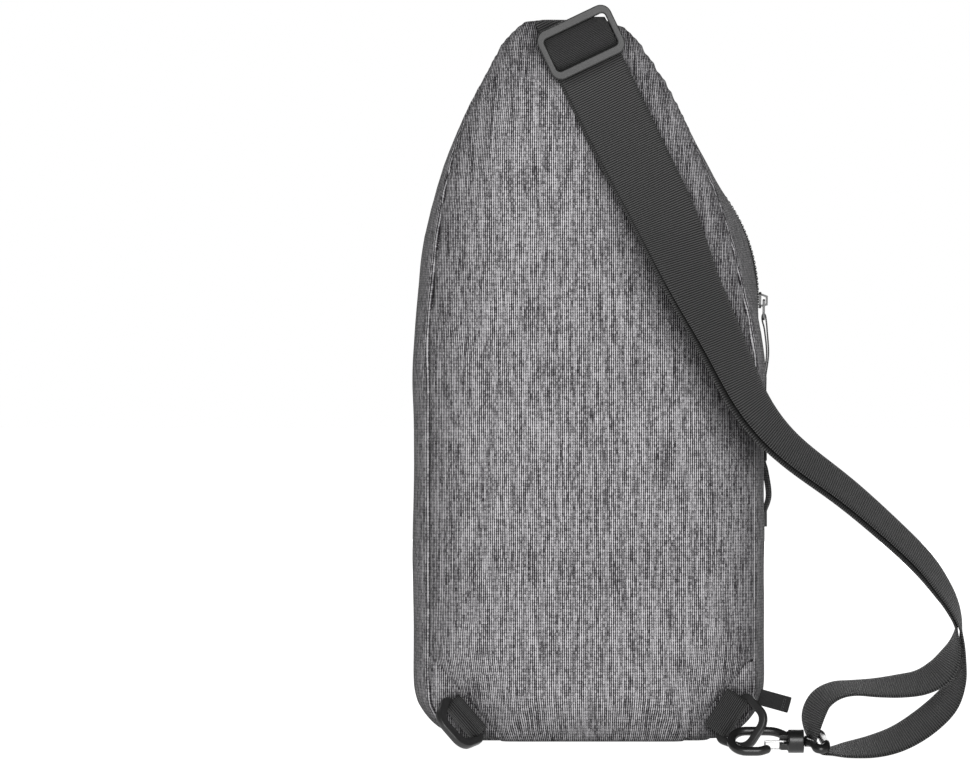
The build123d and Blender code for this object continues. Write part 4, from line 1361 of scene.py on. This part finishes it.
for name, z, r in (("lower", POCKET_Z - 8.6 * MM, 0.35 * MM), ("upper", POCKET_Z + 8.4 * MM, 0.2 * MM)):
    rows = pocket_frames(POCKET_RADIUS + r, z, 4 * MM, 36.5)
    zip_stitches("pocket_zip_stitches_" + name, [f[0] for f in rows], [f[3] for f in rows], "thread")


# ---------------------------------------------------------------- pulls
# The cord's path from the link in mm: drop, spread of the two plies, share of the bow
CORD_STEPS = [(7.6, 0.0, 0.0), (9.0, 0.9, 0), (12.0, 1.15, 0.1), (18.0, 0.75, 0.5), (32.0, 0.55, 0.9)]


def pull_cord(name, origin, out, side, length, bow):
    """Two flat plies of cord that hang from the link slot into the moulded tip."""
    steps = CORD_STEPS + [(length, 0.5, 0.1)]
    for index, sign in enumerate((1, -1)):
        path = [origin + (out * s * sign + np.array([bow * b, 0, -d])) * MM for d, s, b in steps]
        sheet(
            f"{name}_cord_ply_{index}", path, side, 3.3 * MM, 0.85 * MM, "cord", name + "_pull", "pull_cord",
            name + "_cord", steps=50,
        )


main_link = np.array([103.0 * MM, ZIP_Y, 255.2 * MM])
pull_cord("main", main_link, np.array([1.0, 0, 0]), DEPTH, 47.0, 2.4)
POCKET_REST = math.radians(36.9)
pocket_out = np.array([math.sin(POCKET_REST), math.cos(POCKET_REST), 0])
pocket_link = np.array([0, POCKET_AXIS, POCKET_Z]) + pocket_out * (POCKET_RADIUS + 4.0 * MM)
pull_cord("pocket", pocket_link, pocket_out, (pocket_out[1], -pocket_out[0], 0), 43.0, 4.4)
for name in ("main_cord_tip", "pocket_cord_tip"):
    dress_node(name, "tip")
for name in ("main_slider", "pocket_slider", "main_link", "pocket_link"):
    dress_node(name, "zip_metal")


# ---------------------------------------------------------------- hook and swivel
def hook_body():
    """The CAD hook with its edges rounded as a moulding's are."""
    dress_node("hook_body", "hook")
    skin = nodes["hook_body"].modifiers.new("skin", "REMESH")
    skin.mode = "VOXEL"
    skin.voxel_size = 0.45 * MM
    skin.use_smooth_shade = True
    soften = nodes["hook_body"].modifiers.new("soft_edges", "SMOOTH")
    soften.factor = 0.5
    soften.iterations = 5


def swivel_eye():
    """Rounded bail that carries the webbing, with one end low and the other high, on a pin in the collar."""
    (x0, y0, z0), (x1, y1, z1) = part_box("swivel_eye")
    middle_y, middle_z = (y0 + y1) / 2, (z0 + z1) / 2
    half = (y1 - y0) / 2 - 2.2 * MM
    near, far = high("hook_body", 0) + 2.6 * MM, x1 - 2.2 * MM
    knee = near + 3.4 * MM
    corners = [(near, -6 * MM), (knee, -half), (far, -half), (far, half), (knee, half), (near, 6 * MM)]
    path = rounded_polygon(corners, [r * MM for r in (3.0, 3.0, 3.2, 3.2, 3.0, 3.0)])
    eye = swept_loop("swivel_eye_moulding", path, 2.2 * MM, 2.4 * MM, 2.3)
    place = coords(eye)
    share = np.clip((np.abs(place[:, 1]) - 15 * MM) / (8 * MM), 0, 1)
    place[:, 2] += np.sign(place[:, 1]) * share * share * (3 - 2 * share) * 2.8 * MM
    set_coords(eye, place + np.array([0, middle_y, middle_z]))
    angles = np.linspace(0, 2 * math.pi, 28, endpoint=False)
    collar = near + 0.4 * MM
    turned = [(x0, 1.8), (near - 2.4 * MM, 1.8), (near - 2.0 * MM, 3.2), (collar, 3.2), (near + MM, 2.4)]
    rings = []
    for x, radius in turned:
        across, up = radius * MM * np.cos(angles), radius * MM * np.sin(angles)
        rings.append(np.stack([np.full(len(angles), x), middle_y + across, middle_z + up], axis=1))
    pin = loft_rings("swivel_pin", rings)
    for piece in (eye, pin):
        dress(piece, "hook", "strap", "hook_plastic", "swivel_eye")


hook_body()
swivel_eye()
dress_node("hook_gate", "wire")


# ---------------------------------------------------------------- inside pieces and the base
def padded_sheet(name, node, outline, y_near, y_far, key, slot, crown):
    """Soft closed sheet between two depths, rounded at the rim and crowned in the middle."""
    middle = (y_near + y_far) / 2
    half = (y_far - y_near) / 2
    layers = []
    for inset, depth in ((0.0, 0.0), (0.3, 0.7), (1.2, 1.0), (6, 1.0), (14, 1.0)):
        ring = inset_outline(outline, inset * MM) if inset else outline
        layers.append((ring, depth * half + (crown if inset > 5 else 0) * (inset / 14)))
    rings = [ring_at(ring, middle - d) for ring, d in layers[::-1]]
    rings += [ring_at(ring, middle + d) for ring, d in layers[1:]]
    dress(loft_rings(name, rings), key, "bag", slot, node)


def box_outline(x0, y0, x1, y1, radius, count):
    shape = rounded_polygon([(x0, y0), (x1, y0), (x1, y1), (x0, y1)], [radius] * 4)
    return resample(shape, count, closed=True)


def base_cloth():
    (x0, y0, z0), (x1, y1, z1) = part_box("base_patch")
    outline = box_outline(x0, y0, x1, y1, 8 * MM, 200)
    rings = []
    for inset, z in ((6, z0 + 0.25 * MM), (1.2, z0), (0.0, z0 + 0.6 * MM), (0.4, z1)):
        ring = inset_outline(outline, inset * MM) if inset else outline
        rings.append(np.stack([ring[:, 0], ring[:, 1], np.full(len(ring), z)], axis=1))
    obj = loft_rings("base_cloth", rings)
    weave(obj, *coords(obj).T)
    dress(obj, "cloth", "bag", "base_cloth", "base_patch")


inner = clipped(inset_outline(teardrop(SEAM, 300), 9 * MM), 1 * MM)
for name, node, key, slot in (
    ("foam_pad", "back_foam", "foam", "foam"),
    ("lining_cloth", "back_lining", "lining", "grey_lining"),
):
    padded_sheet(name, node, inner, low(node, 1), high(node, 1), key, slot, 0.0)
sleeve_front = high("tablet_sleeve", 1)
for name, node, y_near, y_far, crown in (
    ("sleeve_cloth", "tablet_sleeve", sleeve_front - 1.5 * MM, sleeve_front, 0.5 * MM),
    ("organiser_cloth", "organiser_panel", 12 * MM, 14 * MM, 0.8 * MM),
):
    outline = box_outline(low(node, 0), low(node, 2), high(node, 0), high(node, 2), 9 * MM, 240)
    padded_sheet(name, node, outline, y_near, y_far, "lining", "grey_lining", crown)
base_cloth()

# ---------------------------------------------------------------- floor, light and camera
AMBIENT = 0.11
CAMERA_DISTANCE = 2.0
VIEW_WIDTH = 557.75 * MM
VIEW_SHIFT = 59.8 * MM
VIEW_HEIGHT = 204.99 * MM
floor_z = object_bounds()[0][2] - 1.0 * MM
bpy.ops.mesh.primitive_plane_add(size=30, location=(0, 0, floor_z))
floor = bpy.context.object
floor.name = "floor"
pale, n = material("pale_floor")
shader = n.finish((0.5, 0.5, 0.502, 1), 0.9, spec=0.0)
shader.inputs["Emission Color"].default_value = (1, 1, 1, 1)
shader.inputs["Emission Strength"].default_value = 0.99
floor.data.materials.append(pale)

world = bpy.data.worlds.new("studio")
world.use_nodes = True
n = Nodes(world.node_tree)
background = world.node_tree.nodes["Background"]
background.inputs[0].default_value = (1, 1, 1, 1)
seen = n.add("ShaderNodeLightPath").outputs["Is Camera Ray"]
n.link(n.math("MULTIPLY_ADD", seen, 1.0 - AMBIENT, AMBIENT), background.inputs[1])
bpy.context.scene.world = world


def lamp(name, position, target, size, power):
    data = bpy.data.lights.new(name, "AREA")
    data.shape = "SQUARE"
    data.size = size
    data.energy = power
    obj = new_object(name, data)
    obj.location = position
    obj.rotation_euler = (Vector(target) - Vector(position)).to_track_quat("-Z", "Y").to_euler()


middle = (0.03, 0, 0.2)
lamp("key", (0.18, -2.5, 0.95), middle, 1.0, 34)
lamp("fill", (0.35, -2.6, 0.3), middle, 1.2, 14)
lamp("back_light", (-0.6, 2.0, 1.6), middle, 1.4, 18)
lamp("front_fill", (0.4, 2.6, 0.5), middle, 1.4, 18)

bpy.context.scene.view_settings.view_transform = "Standard"
camera_data = bpy.data.cameras.new("camera")
camera_data.sensor_width = 36
camera_data.lens = camera_data.sensor_width * CAMERA_DISTANCE / VIEW_WIDTH
camera_data.shift_x = -VIEW_SHIFT / VIEW_WIDTH
camera = new_object("camera", camera_data)
camera.location = (0, low("back_panel", 1) - CAMERA_DISTANCE, VIEW_HEIGHT)
camera.rotation_euler = (math.pi / 2, 0, 0)
bpy.context.scene.camera = camera
